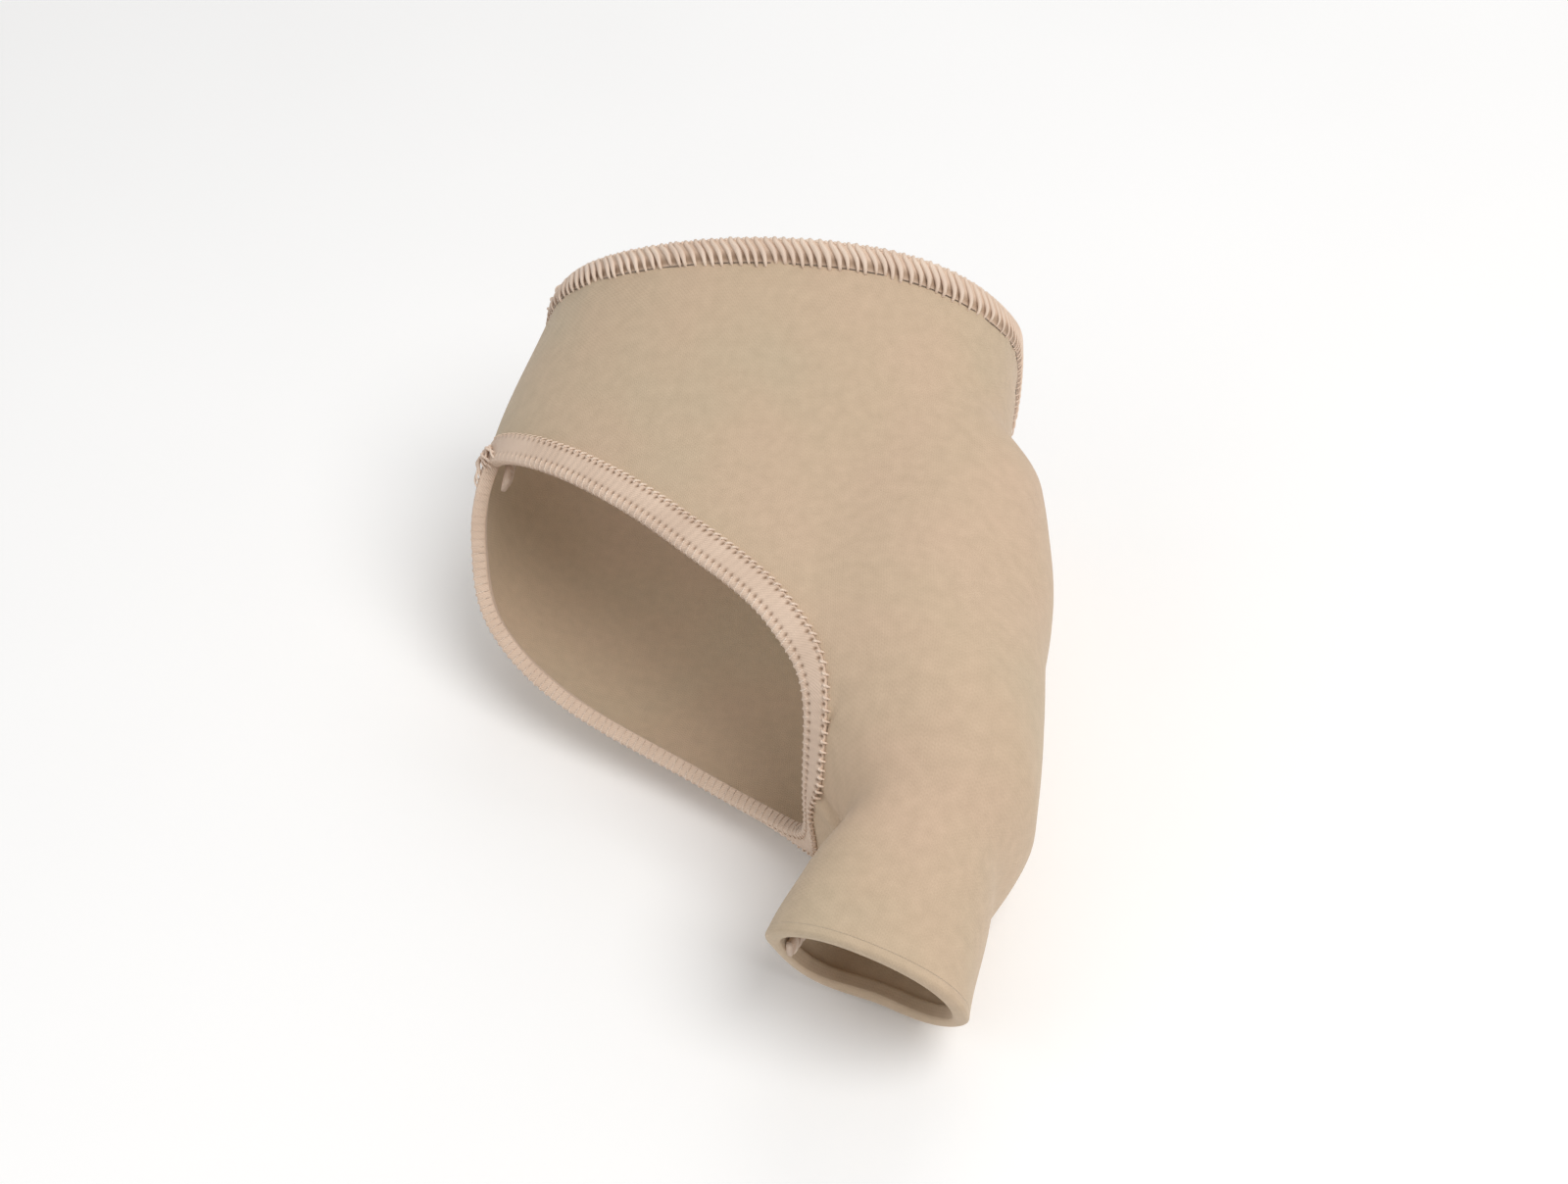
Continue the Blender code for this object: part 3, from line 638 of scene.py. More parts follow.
def carried_section(name, edge, inset, height, material):
    """A closed section carried round a closed edge: one ring of points for each station."""
    stations = len(edge.stations)
    points = edge.point(edge.stations[:, None], inset, height)
    run = np.concatenate([[0], np.cumsum(np.hypot(np.diff(inset[0]), np.diff(height[0])))])
    texture = np.stack(np.broadcast_arrays(edge.stations[:, None], run), axis=-1) * 1000
    quads = grid_quads(stations, inset.shape[1], True, True)
    return new_piece(name, points.reshape(-1, 3), [quads], material, texture.reshape(-1, 2))


def stitch_count(edge, pitch):
    """How many stitches of about that pitch close up round the edge."""
    return int(round(edge.length / pitch))


def tape_fading(edge, distance):
    """How firmly the tape's stitches show: faint near the side seam and firm elsewhere."""
    from_seam = np.minimum(np.mod(distance, edge.length), edge.length - np.mod(distance, edge.length))
    return smooth_step((from_seam - 0.0080) / 0.0120)


def tape_width(edge, distance):
    """The tape's visible width: whole, but narrowed by a smooth step where the knit laps over it."""
    from_web = np.abs(np.mod(distance, edge.length) - edge.length * WEB_SHARE)
    return FOREFOOT_HEM_WIDTH * (0.32 + 0.68 * smooth_step(from_web / 0.0095))


def make_forefoot_tape(edge, thread):
    """The flat tape round the opening, dimpled at its holes, and its teeth of thread.

    Each hole is a bell-shaped dimple. The tape swells a little between neighbouring holes, by a
    cosine along the edge.
    """
    count = stitch_count(edge, TAPE_PITCH)
    pitch = edge.length / count
    edge.stations = np.arange(count * 8) * edge.length / (count * 8)
    wall = KNIT_THICKNESS / 2 + 0.00005
    thickness = TAPE_SHOWN_THICKNESS
    inset, height = folded_section(FOREFOOT_HEM_WIDTH, thickness, wall)
    run = np.concatenate([[0], np.cumsum(np.hypot(np.diff(inset), np.diff(height)))])
    outer = np.flatnonzero(height > wall * 1.2)
    order = outer[np.argsort(inset[outer])]
    rows = np.interp([HOLE_INSET, FOREFOOT_HEM_WIDTH - HOLE_INSET], inset[order], run[order])
    narrowing = (tape_width(edge, edge.stations) / FOREFOOT_HEM_WIDTH)[:, None]
    away = (np.mod(edge.stations / pitch + 0.5, 1) - 0.5)[:, None] * pitch
    shown = 0.25 + 0.75 * tape_fading(edge, edge.stations)[:, None]
    sinking = 0.00004 * np.cos(2 * math.pi * edge.stations / pitch)[:, None]
    for row_inset in (HOLE_INSET, FOREFOOT_HEM_WIDTH - HOLE_INSET):
        span = (inset - row_inset) / HOLE_RADIUS
        dimple = np.exp(-(away / HOLE_RADIUS) ** 2 - span ** 2)
        trough = np.exp(-(span / 1.7) ** 2)
        sinking = sinking + HOLE_DEPTH * dimple + 0.00005 * trough
    height = height - (height > wall * 1.2) * shown * sinking
    inset = np.where(inset > 0, inset * narrowing, inset)
    tape = pierced_material(pitch * 1000, rows * 1000, edge.length * 1000)
    piece = carried_section("forefoot_tape", edge, inset, height, tape)
    teeth = tape_teeth(edge, count, wall, thickness)
    return piece, new_piece("forefoot_stitches", *teeth[:2], thread, teeth[2])


def tape_teeth(edge, count, wall, thickness):
    """Threads from each hole over the tape's nearer edge: one arch to the knit, one to the fold."""
    pitch = edge.length / count
    hole = np.arange(count) * pitch
    draw = np.random.default_rng(11)
    wobble = draw.normal(0, 0.00004, count)
    share = np.linspace(0, 1, 9)
    firm = 0.35 + 0.65 * tape_fading(edge, hole)
    width = tape_width(edge, hole)[:, None]
    top = wall + thickness
    distance = (hole + wobble)[:, None] + (share - 0.5) * pitch * 0.30 + pitch * 0.5
    inset = width - HOLE_INSET * 0.9 + share * (HOLE_INSET + 0.00030)
    arch = np.interp(share, [0, 0.15, 0.45, 0.7, 0.88, 1],
                     [top - 0.00020, top + 0.00006, top + 0.00004, top * 0.74, wall, wall - 0.0003])
    radius = 0.00019 * np.array([0.7, 1, 1.1, 1.1, 1.1, 1, 0.95, 0.8, 0.5]) * firm[:, None]
    knit_side = thread_mesh(edge.point(distance, inset, arch), edge.normal(distance, inset), radius, 6)
    distance = (hole + wobble)[:, None] + pitch * 0.5 + (share - 0.4) * pitch * 0.20
    bend = np.clip((share - 0.4) / 0.6, 0, 1) * math.pi * 0.8
    inset = np.where(share < 0.4, HOLE_INSET * (1 - share / 0.4),
                     -CLEARANCE - (thickness * 0.8 + 0.00003) * np.sin(bend)) + 0 * distance
    fold_height = np.where(share < 0.4, top + 0.00004 * np.sin(share / 0.4 * math.pi),
                           (top + 0.00003) * np.cos(bend))
    radius = 0.00014 * np.array([0.6, 1, 1.1, 1.1, 1.1, 1.1, 1, 0.8, 0.6]) * firm[:, None]
    free_side = thread_mesh(edge.point(distance, inset, fold_height),
                            edge.normal(distance, inset), radius, 6)
    return join_meshes([knit_side, free_side])


def rope_strength(edge, distance):
    """How bold the overlock's threads are: full on top of the instep, finer round both sides."""
    _, turn = edge.place(distance, 0.0)
    upward = np.sin(turn - math.radians(8))
    return 0.35 + 0.65 * smooth_step((upward - 0.30) / 0.45)


def make_instep_hem(edge, thread):
    """The overlocked edge: a padded fold, thick slanted threads over it and pearls on its edge.

    The band swells by half a sine towards its free edge and sinks to the knit where the threads
    leave it. A thread's height follows the band, and it dives into the knit at its outer end.
    """
    count = stitch_count(edge, ROPE_PITCH)
    pitch = edge.length / count
    edge.stations = np.arange(count * 6) * edge.length / (count * 6)
    wall = KNIT_THICKNESS / 2 + 0.00005
    thickness = ROPE_BAND_THICKNESS
    width = INSTEP_HEM_WIDTH * ROPE_BAND_REACH
    inset, height = folded_section(width, thickness, wall, 18)
    sunk = smooth_step((inset / width - 0.40) / 0.45)
    height = np.where(height > wall * 1.05, height - thickness * 0.85 * sunk, height)
    shape = (len(edge.stations), len(inset))
    run = np.concatenate([[0], np.cumsum(np.hypot(np.diff(inset), np.diff(height)))]) * 1000
    shown = np.flatnonzero(height > wall * 0.9)
    order = shown[np.argsort(inset[shown])]
    start, end = np.interp([width * 0.30, width], inset[order], run[order])
    base = carried_section("instep_band", edge, np.broadcast_to(inset, shape),
                           np.broadcast_to(height, shape), shaded_material(start, end))

    draw = np.random.default_rng(23)
    start = np.arange(count) * pitch + draw.normal(0, 0.00012, count)
    firm = rope_strength(edge, start)
    share = np.linspace(0, 1, 19)
    top = wall + thickness
    reach = INSTEP_HEM_WIDTH * ROPE_REACH + draw.normal(0.0, 0.00020, count)[:, None]
    outer_part = np.clip(share / 0.62, 0, 1)
    fold_part = np.clip((share - 0.62) / 0.22, 0, 1)
    inner_part = np.clip((share - 0.84) / 0.16, 0, 1)
    inset = np.where(
        share <= 0.62, reach * (1 - outer_part),
        np.where(share <= 0.84, -CLEARANCE - thickness * 0.82 * np.sin(fold_part * math.pi),
                 inner_part * INSTEP_HEM_WIDTH * INNER_LEG * 0.9))
    tuck = np.interp(outer_part, [0, 0.08, 0.20, 0.35, 1], [1, 0.45, 0.08, 0.0, 0.0])
    swell = np.interp(outer_part, [0, 0.2, 0.45, 0.75, 1], [0, 0.00012, 0.00016, 0.00004, 0])
    outer_height = top * (1 - tuck) + (wall - 0.00030) * tuck + swell
    height = np.where(
        share <= 0.62, outer_height,
        np.where(share <= 0.84, (top + 0.00003) * np.cos(fold_part * math.pi), -top - 0.00003))
    height = height + 0 * inset
    slant = ROPE_SLANT * (0.5 + 0.5 * firm)[:, None]
    distance = start[:, None] + slant * (share / 0.62) - 0.0004 * np.sin(outer_part * math.pi)
    plump = np.interp(share, [0, 0.05, 0.16, 0.3, 0.45, 0.62, 0.8, 1],
                      [0.40, 0.58, 0.72, 0.95, 1.05, 0.80, 0.60, 0.4])
    uneven = 1 + draw.normal(0, 0.08, count)
    radius = ROPE_RADIUS * plump * (firm * uneven)[:, None]
    slanted = thread_mesh(edge.point(distance, inset, height), edge.normal(distance, inset), radius, 8)

    pearls = count * 2
    place = np.arange(pearls) * pitch / 2 + draw.normal(0, 0.00005, pearls)
    firm = rope_strength(edge, place)
    bead = np.linspace(0, 1, 7)
    distance = place[:, None] + (bead - 0.5) * pitch * 0.25
    turn_over = (0.08 + 0.50 * bead) * math.pi
    inset = -CLEARANCE + 0.0003 - (thickness * 0.8 + 0.00015) * np.sin(turn_over) + 0 * distance
    height = (top + 0.00012) * np.cos(turn_over) + 0 * distance
    size = (PEARL_RADIUS * np.array([0.45, 0.95, 1.2, 1.25, 1.2, 0.95, 0.45])
            * (0.55 + 0.45 * firm)[:, None])
    loops = thread_mesh(edge.point(distance, inset, height), edge.normal(distance, inset), size, 6)
    mesh = join_meshes([slanted, loops])
    return base, new_piece("instep_overlock", *mesh[:2], thread, mesh[2])


def make_toe_hem(edge, knit):
    """The turned edge of the toe tube: a round fold and a flat leg inside."""
    edge.stations = np.arange(420) * edge.length / 420
    wall = KNIT_THICKNESS / 2
    thickness = TOE_HEM_THICKNESS
    bend = np.linspace(0, math.pi, 13)
    fold = -0.00002 - thickness * 0.75 * np.sin(bend)
    low = -wall - CLEARANCE - thickness
    fold_height = (wall + 0.00004 + low) / 2 + (wall + 0.00004 - low) / 2 * np.cos(bend)
    lip = np.linspace(0.0009, 0.0002, 4)
    lip_height = wall + 0.00004 * np.sin((0.0009 - lip) / 0.0007 * math.pi / 2)
    leg = np.linspace(0.0003, TOE_HEM_WIDTH, 8)
    leg_height = low + thickness * np.clip((leg - TOE_HEM_WIDTH + 0.0005) / 0.0005, 0, 1) ** 2
    inset = np.concatenate([lip, fold, leg, [0.0012, 0.0, 0.0]])
    height = np.concatenate([lip_height, fold_height, leg_height,
                             [-wall - 0.0001, -wall - 0.0001, wall - 0.0003]])
    inset = np.broadcast_to(inset, (len(edge.stations), len(inset)))
    return carried_section("toe_edge", edge, inset, height + 0 * inset, knit)


def turn_at_girth(along, girth):
    """The turn at a signed straight distance from the section's widest inner line."""
    turns = np.linspace(-math.pi / 2, math.pi / 2, 361)
    walked = girth_from_inner_side(along[:, None] + 0 * turns, turns + 0 * along[:, None])
    walked *= np.sign(turns)
    above = np.clip(np.sum(walked < girth[:, None], axis=1), 1, 360)
    row = np.arange(len(along))
    low = walked[row, above - 1]
    part = np.clip((girth - low) / (walked[row, above] - low), 0, 1)
    return turns[above - 1] + part * (turns[1] - turns[0])


def make_gel_pad(material):
    """The gel pad: rings of a superellipse, once on the foot form and once raised by thickness."""
    rings, spokes = 30, 160
    spoke = 2 * math.pi * np.arange(spokes) / spokes
    square = (np.abs(np.cos(spoke)) ** PAD_SQUARENESS
              + np.abs(np.sin(spoke)) ** PAD_SQUARENESS) ** (-1 / PAD_SQUARENESS)
    ring = np.linspace(0, 1, rings + 1)[1:] ** 0.85
    along = PAD_CENTRE + PAD_LENGTH / 2 * np.outer(ring, square * np.cos(spoke))
    girth = PAD_HEIGHT / 2 * np.outer(ring, square * np.sin(spoke))
    along = np.append(along.ravel(), PAD_CENTRE)
    girth = np.append(girth.ravel(), 0.0)
    turn = turn_at_girth(along, girth)
    under = foot_form(along, turn)
    normal = outward(along, turn)
    over = under + normal * pad_thickness(along, turn)[:, None]
    distance, _ = pad_distance(along, turn)
    groove = np.exp(-((distance - 0.86) / 0.018) ** 2) * 0.00025
    under = under + normal * groove[:, None]
    count = len(under)
    one = grid_quads(rings, spokes, closed_columns=True)
    middle = np.stack([np.arange(spokes), (np.arange(spokes) + 1) % spokes,
                       np.full(spokes, count - 1)], axis=-1)
    last = (rings - 1) * spokes + np.arange(spokes)
    beside = (rings - 1) * spokes + (np.arange(spokes) + 1) % spokes
    rim = np.stack([last, beside, beside + count, last + count], axis=-1)
    quads = np.concatenate([one, one[:, ::-1] + count, rim[:, ::-1]])
    fans = np.concatenate([middle[:, ::-1], middle + count])
    place = np.stack([girth, along], axis=-1) * 1000
    return new_piece("gel_pad_moulded", np.concatenate([under, over]), [quads, fans], material,
                     np.concatenate([place, place]))


def seam_line(heel_end, toe_end, heel_step, toe_step, count):
    """Along, and how far the rib stands off the wall: it steps over the hems at its two ends."""
    along = np.linspace(heel_end, toe_end, count)
    from_heel = (np.abs(along - heel_end) - SEAM_REST) / SEAM_RAMP
    from_toe = (np.abs(along - toe_end) - SEAM_REST) / SEAM_RAMP
    stand_off = (KNIT_THICKNESS / 2 + CLEARANCE + heel_step * (1 - smooth_step(from_heel))
                 + toe_step * (1 - smooth_step(from_toe)))
    return along, stand_off


def make_seam(name, turn, ends, steps, tape, thread):
    """An overlocked seam inside the knit: a flat rib with slanted threads laid across it."""
    count = 160
    along, stand_off = seam_line(*ends, *steps, count)
    turns = np.full_like(along, turn)
    small = 0.02
    radius = np.linalg.norm(foot_form(along, turns - small) - foot_form(along, turns), axis=-1) / small
    half = SEAM_WIDTH / 2
    round_about = 2 * math.pi * np.arange(14) / 14
    sideways = half * np.sign(np.cos(round_about)) * np.abs(np.cos(round_about)) ** 0.5
    deep = 0.5 - 0.5 * np.sign(np.sin(round_about)) * np.abs(np.sin(round_about)) ** 0.7
    points = on_knit(along[:, None] + 0 * sideways, turns[:, None] - sideways / radius[:, None],
                     -stand_off[:, None] - deep * SEAM_THICKNESS * 0.8)
    quads = grid_quads(count, 14, closed_columns=True)
    ends_caps = np.stack([np.arange(14)[::-1], (count - 1) * 14 + np.arange(14)])
    texture = np.stack(np.broadcast_arrays(
        along[:, None], half * round_about), axis=-1).reshape(-1, 2) * 1000
    rib = new_piece(name + "_rib", points.reshape(-1, 3), [quads, ends_caps], tape, texture)
    threads = int(abs(along[-1] - along[0]) / 0.0011)
    share = np.linspace(0, 1, 9)
    middle = np.linspace(along[0], along[-1], threads + 2)[1:-1]
    at = middle[:, None] + (share - 0.5) * 0.0011
    off = np.interp(-at, -along, stand_off) if along[0] > along[-1] else np.interp(at, along, stand_off)
    local = np.interp(-at, -along, radius) if along[0] > along[-1] else np.interp(at, along, radius)
    side = (share - 0.5) * SEAM_WIDTH * 1.04 + 0 * at
    raised = off + SEAM_THICKNESS * (0.25 + 0.62 * np.sin(share * math.pi) ** 0.4)
    path = on_knit(at, turn - side / local, -raised)
    normal = outward(at, turn - side / local)
    size = 0.00034 * np.array([0.6, 0.9, 1, 1, 1, 1, 1, 0.9, 0.6])
    mesh = thread_mesh(path, normal, size, 6)
    return rib, new_piece(name + "_threads", *mesh[:2], thread, mesh[2])


def make_tails(material):
    """The seam's loose thread ends at both hems: short curls that fan out and droop."""
    draw = np.random.default_rng(5)
    share = np.linspace(0, 1, 12)
    meshes = []
    side_heel = WEB_TO_HEEL + heel_lean(SEAM_TURN_BACK)
    for start, way, rise, drop, longest, many in (
            (side_heel - 0.0012, 1, 0.0004, 0.0014, 0.0024, 8),
            (OPENING_BACK + 0.0014, -1, 0.0011, 0.0012, 0.0038, 12)):
        length = draw.uniform(0.55, 1.0, (many, 1)) * longest
        fan = draw.uniform(-0.8, 0.8, (many, 1))
        curl = draw.uniform(-0.9, 0.9, (many, 1))
        lift = draw.uniform(-0.0002, 0.0003, (many, 1)) + KNIT_THICKNESS / 2 + 0.0005
        along = start + way * length * share
        sideways = fan * 0.0010 + fan * length * share * 0.5 + curl * 0.0007 * share ** 2
        turn = SEAM_TURN_BACK + sideways / 0.020
        height = lift + rise * np.sin(share * math.pi * 0.8) - drop * share ** 2
        height = height + 0.0003 * np.sin(share * 7 + curl * 4)
        path = on_knit(along, turn, height)
        meshes.append(thread_mesh(path, outward(along, turn),
                                  0.00024 * np.linspace(1.1, 0.7, 12), 6))
    mesh = join_meshes(meshes)
    return new_piece("side_seam_tails", *mesh[:2], material, mesh[2])


def node(tree, kind, inputs=(), **settings):
    """A new node with its settings, and its inputs either linked or set."""
    made = tree.nodes.new(kind)
    for name, value in settings.items():
        setattr(made, name, value)
    for place, value in dict(inputs).items():
        if isinstance(value, bpy.types.NodeSocket):
            tree.links.new(value, made.inputs[place])
        else:
            made.inputs[place].default_value = value
    return made


def sums(tree, operation, first, second=0.0, third=0.0):
    """The result of one arithmetic step."""
    made = node(tree, "ShaderNodeMath", {0: first, 1: second, 2: third}, operation=operation)
    return made.outputs[0]


def colour_ramp(tree, factor, stops):
    """A colour ramp with the given (place, colour) stops."""
    made = node(tree, "ShaderNodeValToRGB", {0: factor})
    ramp = made.color_ramp
    while len(ramp.elements) < len(stops):
        ramp.elements.new(0.5)
    for element, (place, colour) in zip(ramp.elements, stops):
        element.position = place
        element.color = (*colour, 1)
    return made.outputs["Color"]


def mixed(tree, kind, factor, first, second):
    """Two colours mixed in the given way."""
    made = node(tree, "ShaderNodeMix", data_type="RGBA", blend_type=kind)
    for place, value in ((0, factor), (6, first), (7, second)):
        if isinstance(value, bpy.types.NodeSocket):
            tree.links.new(value, made.inputs[place])
        elif place == 0:
            made.inputs[0].default_value = value
        else:
            made.inputs[place].default_value = (*value, 1)
    return made.outputs[2]


def new_material(name, roughness):
    """A material with its node tree and its shader."""
    material = bpy.data.materials.new(name)
    material.use_nodes = True
    tree = material.node_tree
    shader = tree.nodes["Principled BSDF"]
    shader.inputs["Roughness"].default_value = roughness
    return material, tree, shader


def cloth_place(tree):
    """The two values of the piece's own texture, in millimetres."""
    place = node(tree, "ShaderNodeUVMap", uv_map="cloth")
    apart = node(tree, "ShaderNodeSeparateXYZ", {0: place.outputs[0]})
    return place.outputs[0], apart.outputs[0], apart.outputs[1]


def knit_material():
    """Fine elastic knit: columns of V stitches, soft blotches and a dull sheen."""
    material, tree, shader = new_material("knit", 0.86)
    place, girth, along = cloth_place(tree)
    bend = node(tree, "ShaderNodeTexNoise", {"Vector": place, "Scale": 0.14, "Detail": 2.0})
    strayed = sums(tree, "MULTIPLY_ADD", bend.outputs["Fac"], 0.9, girth)
    column = sums(tree, "DIVIDE", strayed, KNIT_WALE)
    leg = sums(tree, "PINGPONG", column, 0.5)
    phase = sums(tree, "MULTIPLY_ADD", leg, 1.1, sums(tree, "DIVIDE", along, KNIT_COURSE))
    strand = sums(tree, "SINE", sums(tree, "MULTIPLY", phase, 2 * math.pi))
    groove = sums(tree, "POWER", sums(tree, "ABSOLUTE", sums(tree, "SUBTRACT", leg, 0.25)), 2.0)
    relief = sums(tree, "MULTIPLY_ADD", groove, -9.0, sums(tree, "MULTIPLY", strand, 0.35))
    fuzz = node(tree, "ShaderNodeTexNoise", {"Vector": place, "Scale": 3.2, "Detail": 4.0})
    relief = sums(tree, "MULTIPLY_ADD", fuzz.outputs["Fac"], 0.8, relief)
    bump = node(tree, "ShaderNodeBump", {"Strength": 0.35, "Distance": 0.00009, "Height": relief})
    tree.links.new(bump.outputs[0], shader.inputs["Normal"])
    body = node(tree, "ShaderNodeTexCoord").outputs["Object"]
    wide = node(tree, "ShaderNodeTexNoise", {"Vector": body, "Scale": 34.0, "Detail": 3.0})
    tone = colour_ramp(tree, wide.outputs["Fac"], (
        (0.30, KNIT_OLIVE), (0.50, KNIT_MIDDLE), (0.70, KNIT_PINK)))
    small = node(tree, "ShaderNodeTexNoise", {"Vector": place, "Scale": 0.55, "Detail": 5.0})
    speckle = colour_ramp(tree, small.outputs["Fac"], (
        (0.25, (0.93, 0.93, 0.92)), (0.75, (1.04, 1.04, 1.04))))
    colour = mixed(tree, "MULTIPLY", 1.0, tone, speckle)
    shade = colour_ramp(tree, sums(tree, "MULTIPLY_ADD", relief, 0.45, 0.6), (
        (0.0, (0.90, 0.89, 0.87)), (1.0, (1.02, 1.02, 1.02))))
    colour = mixed(tree, "MULTIPLY", 0.8, colour, shade)
    tree.links.new(colour, shader.inputs["Base Color"])
    shader.inputs["Sheen Weight"].default_value = 0.22
    shader.inputs["Sheen Roughness"].default_value = 0.45
    shader.inputs["Sheen Tint"].default_value = (1.0, 0.94, 0.84, 1)
    shader.inputs["Specular IOR Level"].default_value = 0.25
    return material


def ribbed_material(name, low, high, pitch, roughness, depth, sheen):
    """Woven tape or twisted thread: fine slanted ribs on the piece's own texture."""
    material, tree, shader = new_material(name, roughness)
    place, run, across = cloth_place(tree)
    slanted = sums(tree, "MULTIPLY_ADD", across, 0.8, run)
    rib = sums(tree, "SINE", sums(tree, "MULTIPLY", slanted, 2 * math.pi / pitch))
    fuzz = node(tree, "ShaderNodeTexNoise", {"Vector": place, "Scale": 4.0, "Detail": 4.0})
    relief = sums(tree, "MULTIPLY_ADD", fuzz.outputs["Fac"], 1.2, sums(tree, "MULTIPLY", rib, 0.5))
    bump = node(tree, "ShaderNodeBump", {"Strength": 0.5, "Distance": depth, "Height": relief})
    tree.links.new(bump.outputs[0], shader.inputs["Normal"])
    body = node(tree, "ShaderNodeTexCoord").outputs["Object"]
    wide = node(tree, "ShaderNodeTexNoise", {"Vector": body, "Scale": 140.0, "Detail": 3.0})
    tone = colour_ramp(tree, wide.outputs["Fac"], ((0.32, low), (0.68, high)))
    shade = colour_ramp(tree, sums(tree, "MULTIPLY_ADD", rib, 0.5, 0.5), (
        (0.0, (0.90, 0.89, 0.88)), (1.0, (1.0, 1.0, 1.0))))
    tree.links.new(mixed(tree, "MULTIPLY", 0.8, tone, shade), shader.inputs["Base Color"])
    shader.inputs["Sheen Weight"].default_value = sheen
    shader.inputs["Sheen Roughness"].default_value = 0.4
    shader.inputs["Specular IOR Level"].default_value = 0.35
    return material


def pierced_material(pitch, rows, length):
    """Woven tape with painted shade in its needle holes: soft dark oval spots in two rows, faint near the side
    seam.

    A spot's darkness is a bell of its distance along and across the tape. pitch, rows and length
    are in millimetres on the tape's own texture.
    """
    material = ribbed_material("pierced_tape", TAPE_LOW, TAPE_HIGH, 0.42, 0.62, 0.00006, 0.15)
    tree = material.node_tree
    shader = tree.nodes["Principled BSDF"]
    cloth = shader.inputs["Base Color"].links[0].from_socket
    place, run, across = cloth_place(tree)
    stray = node(tree, "ShaderNodeTexNoise", {"Vector": place, "Scale": 1.1, "Detail": 1.0})
    moved = sums(tree, "MULTIPLY_ADD", stray.outputs["Fac"], 0.30, run)
    moved = sums(tree, "SUBTRACT", moved, 0.15)
    beside = sums(tree, "PINGPONG", sums(tree, "DIVIDE", moved, pitch), 0.5)
    beside = sums(tree, "POWER", sums(tree, "MULTIPLY", beside, pitch / SPOT_LENGTH), 2.0)
    dark = 0.0
    for row, strength in zip(rows, (0.75, 1.0)):
        away = sums(tree, "DIVIDE", sums(tree, "SUBTRACT", across, row), SPOT_WIDTH)
        away = sums(tree, "POWER", sums(tree, "ABSOLUTE", away), 2.0)
        spot = sums(tree, "EXPONENT", sums(tree, "MULTIPLY", sums(tree, "ADD", away, beside), -1.0))
        dark = sums(tree, "MULTIPLY_ADD", spot, strength, dark)
    from_seam = sums(tree, "PINGPONG", run, length / 2)
    firm = sums(tree, "MINIMUM", sums(tree, "MULTIPLY_ADD", from_seam, 0.08, -0.30), 1.0)
    firm = sums(tree, "MAXIMUM", firm, 0.25)
    dark = sums(tree, "MINIMUM", sums(tree, "MULTIPLY", dark, firm), 0.9)
    # painted shade: the needle holes' dark spots mixed over the woven cloth's colour
    tree.links.new(mixed(tree, "MIX", dark, cloth, HOLE_SHADE_COLOUR), shader.inputs["Base Color"])
    return material


def shaded_material(start, end):
    """Woven band with painted shade between two places across it, where the threads lying over it shade the
    band.
    """
    material = ribbed_material("shaded_band", TAPE_LOW, TAPE_HIGH, 0.42, 0.62, 0.00006, 0.15)
    tree = material.node_tree
    shader = tree.nodes["Principled BSDF"]
    cloth = shader.inputs["Base Color"].links[0].from_socket
    _, _, across = cloth_place(tree)
    share = sums(tree, "DIVIDE", sums(tree, "SUBTRACT", across, start), end - start)
    near = sums(tree, "SUBTRACT", 1.0, sums(tree, "ABSOLUTE", sums(tree, "SUBTRACT", share, 0.62)))
    dark = sums(tree, "MINIMUM", sums(tree, "MAXIMUM", sums(tree, "MULTIPLY_ADD", near, 2.4, -1.4), 0.0), 0.85)
    # painted shade under and between the overlock's threads, mixed over the woven cloth's colour
    tree.links.new(mixed(tree, "MIX", dark, cloth, GAP_SHADE_COLOUR), shader.inputs["Base Color"])
    return material


def gel_material():
    """Soft moulded gel: cloudy, slightly glossy, with faint flow marks."""
    material, tree, shader = new_material("gel", 0.34)
    body = node(tree, "ShaderNodeTexCoord").outputs["Object"]
    cloud = node(tree, "ShaderNodeTexNoise", {"Vector": body, "Scale": 60.0, "Detail": 3.0})
    tone = colour_ramp(tree, cloud.outputs["Fac"], (
        (0.3, (0.74, 0.71, 0.63)), (0.7, (0.86, 0.83, 0.76))))
    tree.links.new(tone, shader.inputs["Base Color"])
    fine = node(tree, "ShaderNodeTexNoise", {"Vector": body, "Scale": 900.0, "Detail": 2.0})
    bump = node(tree, "ShaderNodeBump",
                {"Strength": 0.25, "Distance": 0.0001, "Height": fine.outputs["Fac"]})
    tree.links.new(bump.outputs[0], shader.inputs["Normal"])
    shader.inputs["Subsurface Weight"].default_value = 0.5
    shader.inputs["Subsurface Radius"].default_value = (0.004, 0.003, 0.002)
    shader.inputs["Subsurface Scale"].default_value = 1.0
    return material


def floor_material():
    """Plain pale floor with a barely visible grain."""
    material, tree, shader = new_material("floor", 0.9)
    body = node(tree, "ShaderNodeTexCoord").outputs["Object"]
    grain = node(tree, "ShaderNodeTexNoise", {"Vector": body, "Scale": 9.0, "Detail": 2.0})
    tone = colour_ramp(tree, grain.outputs["Fac"], (
        (0.3, (0.93, 0.93, 0.93)), (0.7, (0.95, 0.95, 0.95))))
    tree.links.new(tone, shader.inputs["Base Color"])
    shader.inputs["Emission Color"].default_value = (1.0, 1.0, 1.0, 1)
    shader.inputs["Emission Strength"].default_value = 0.07
    return material


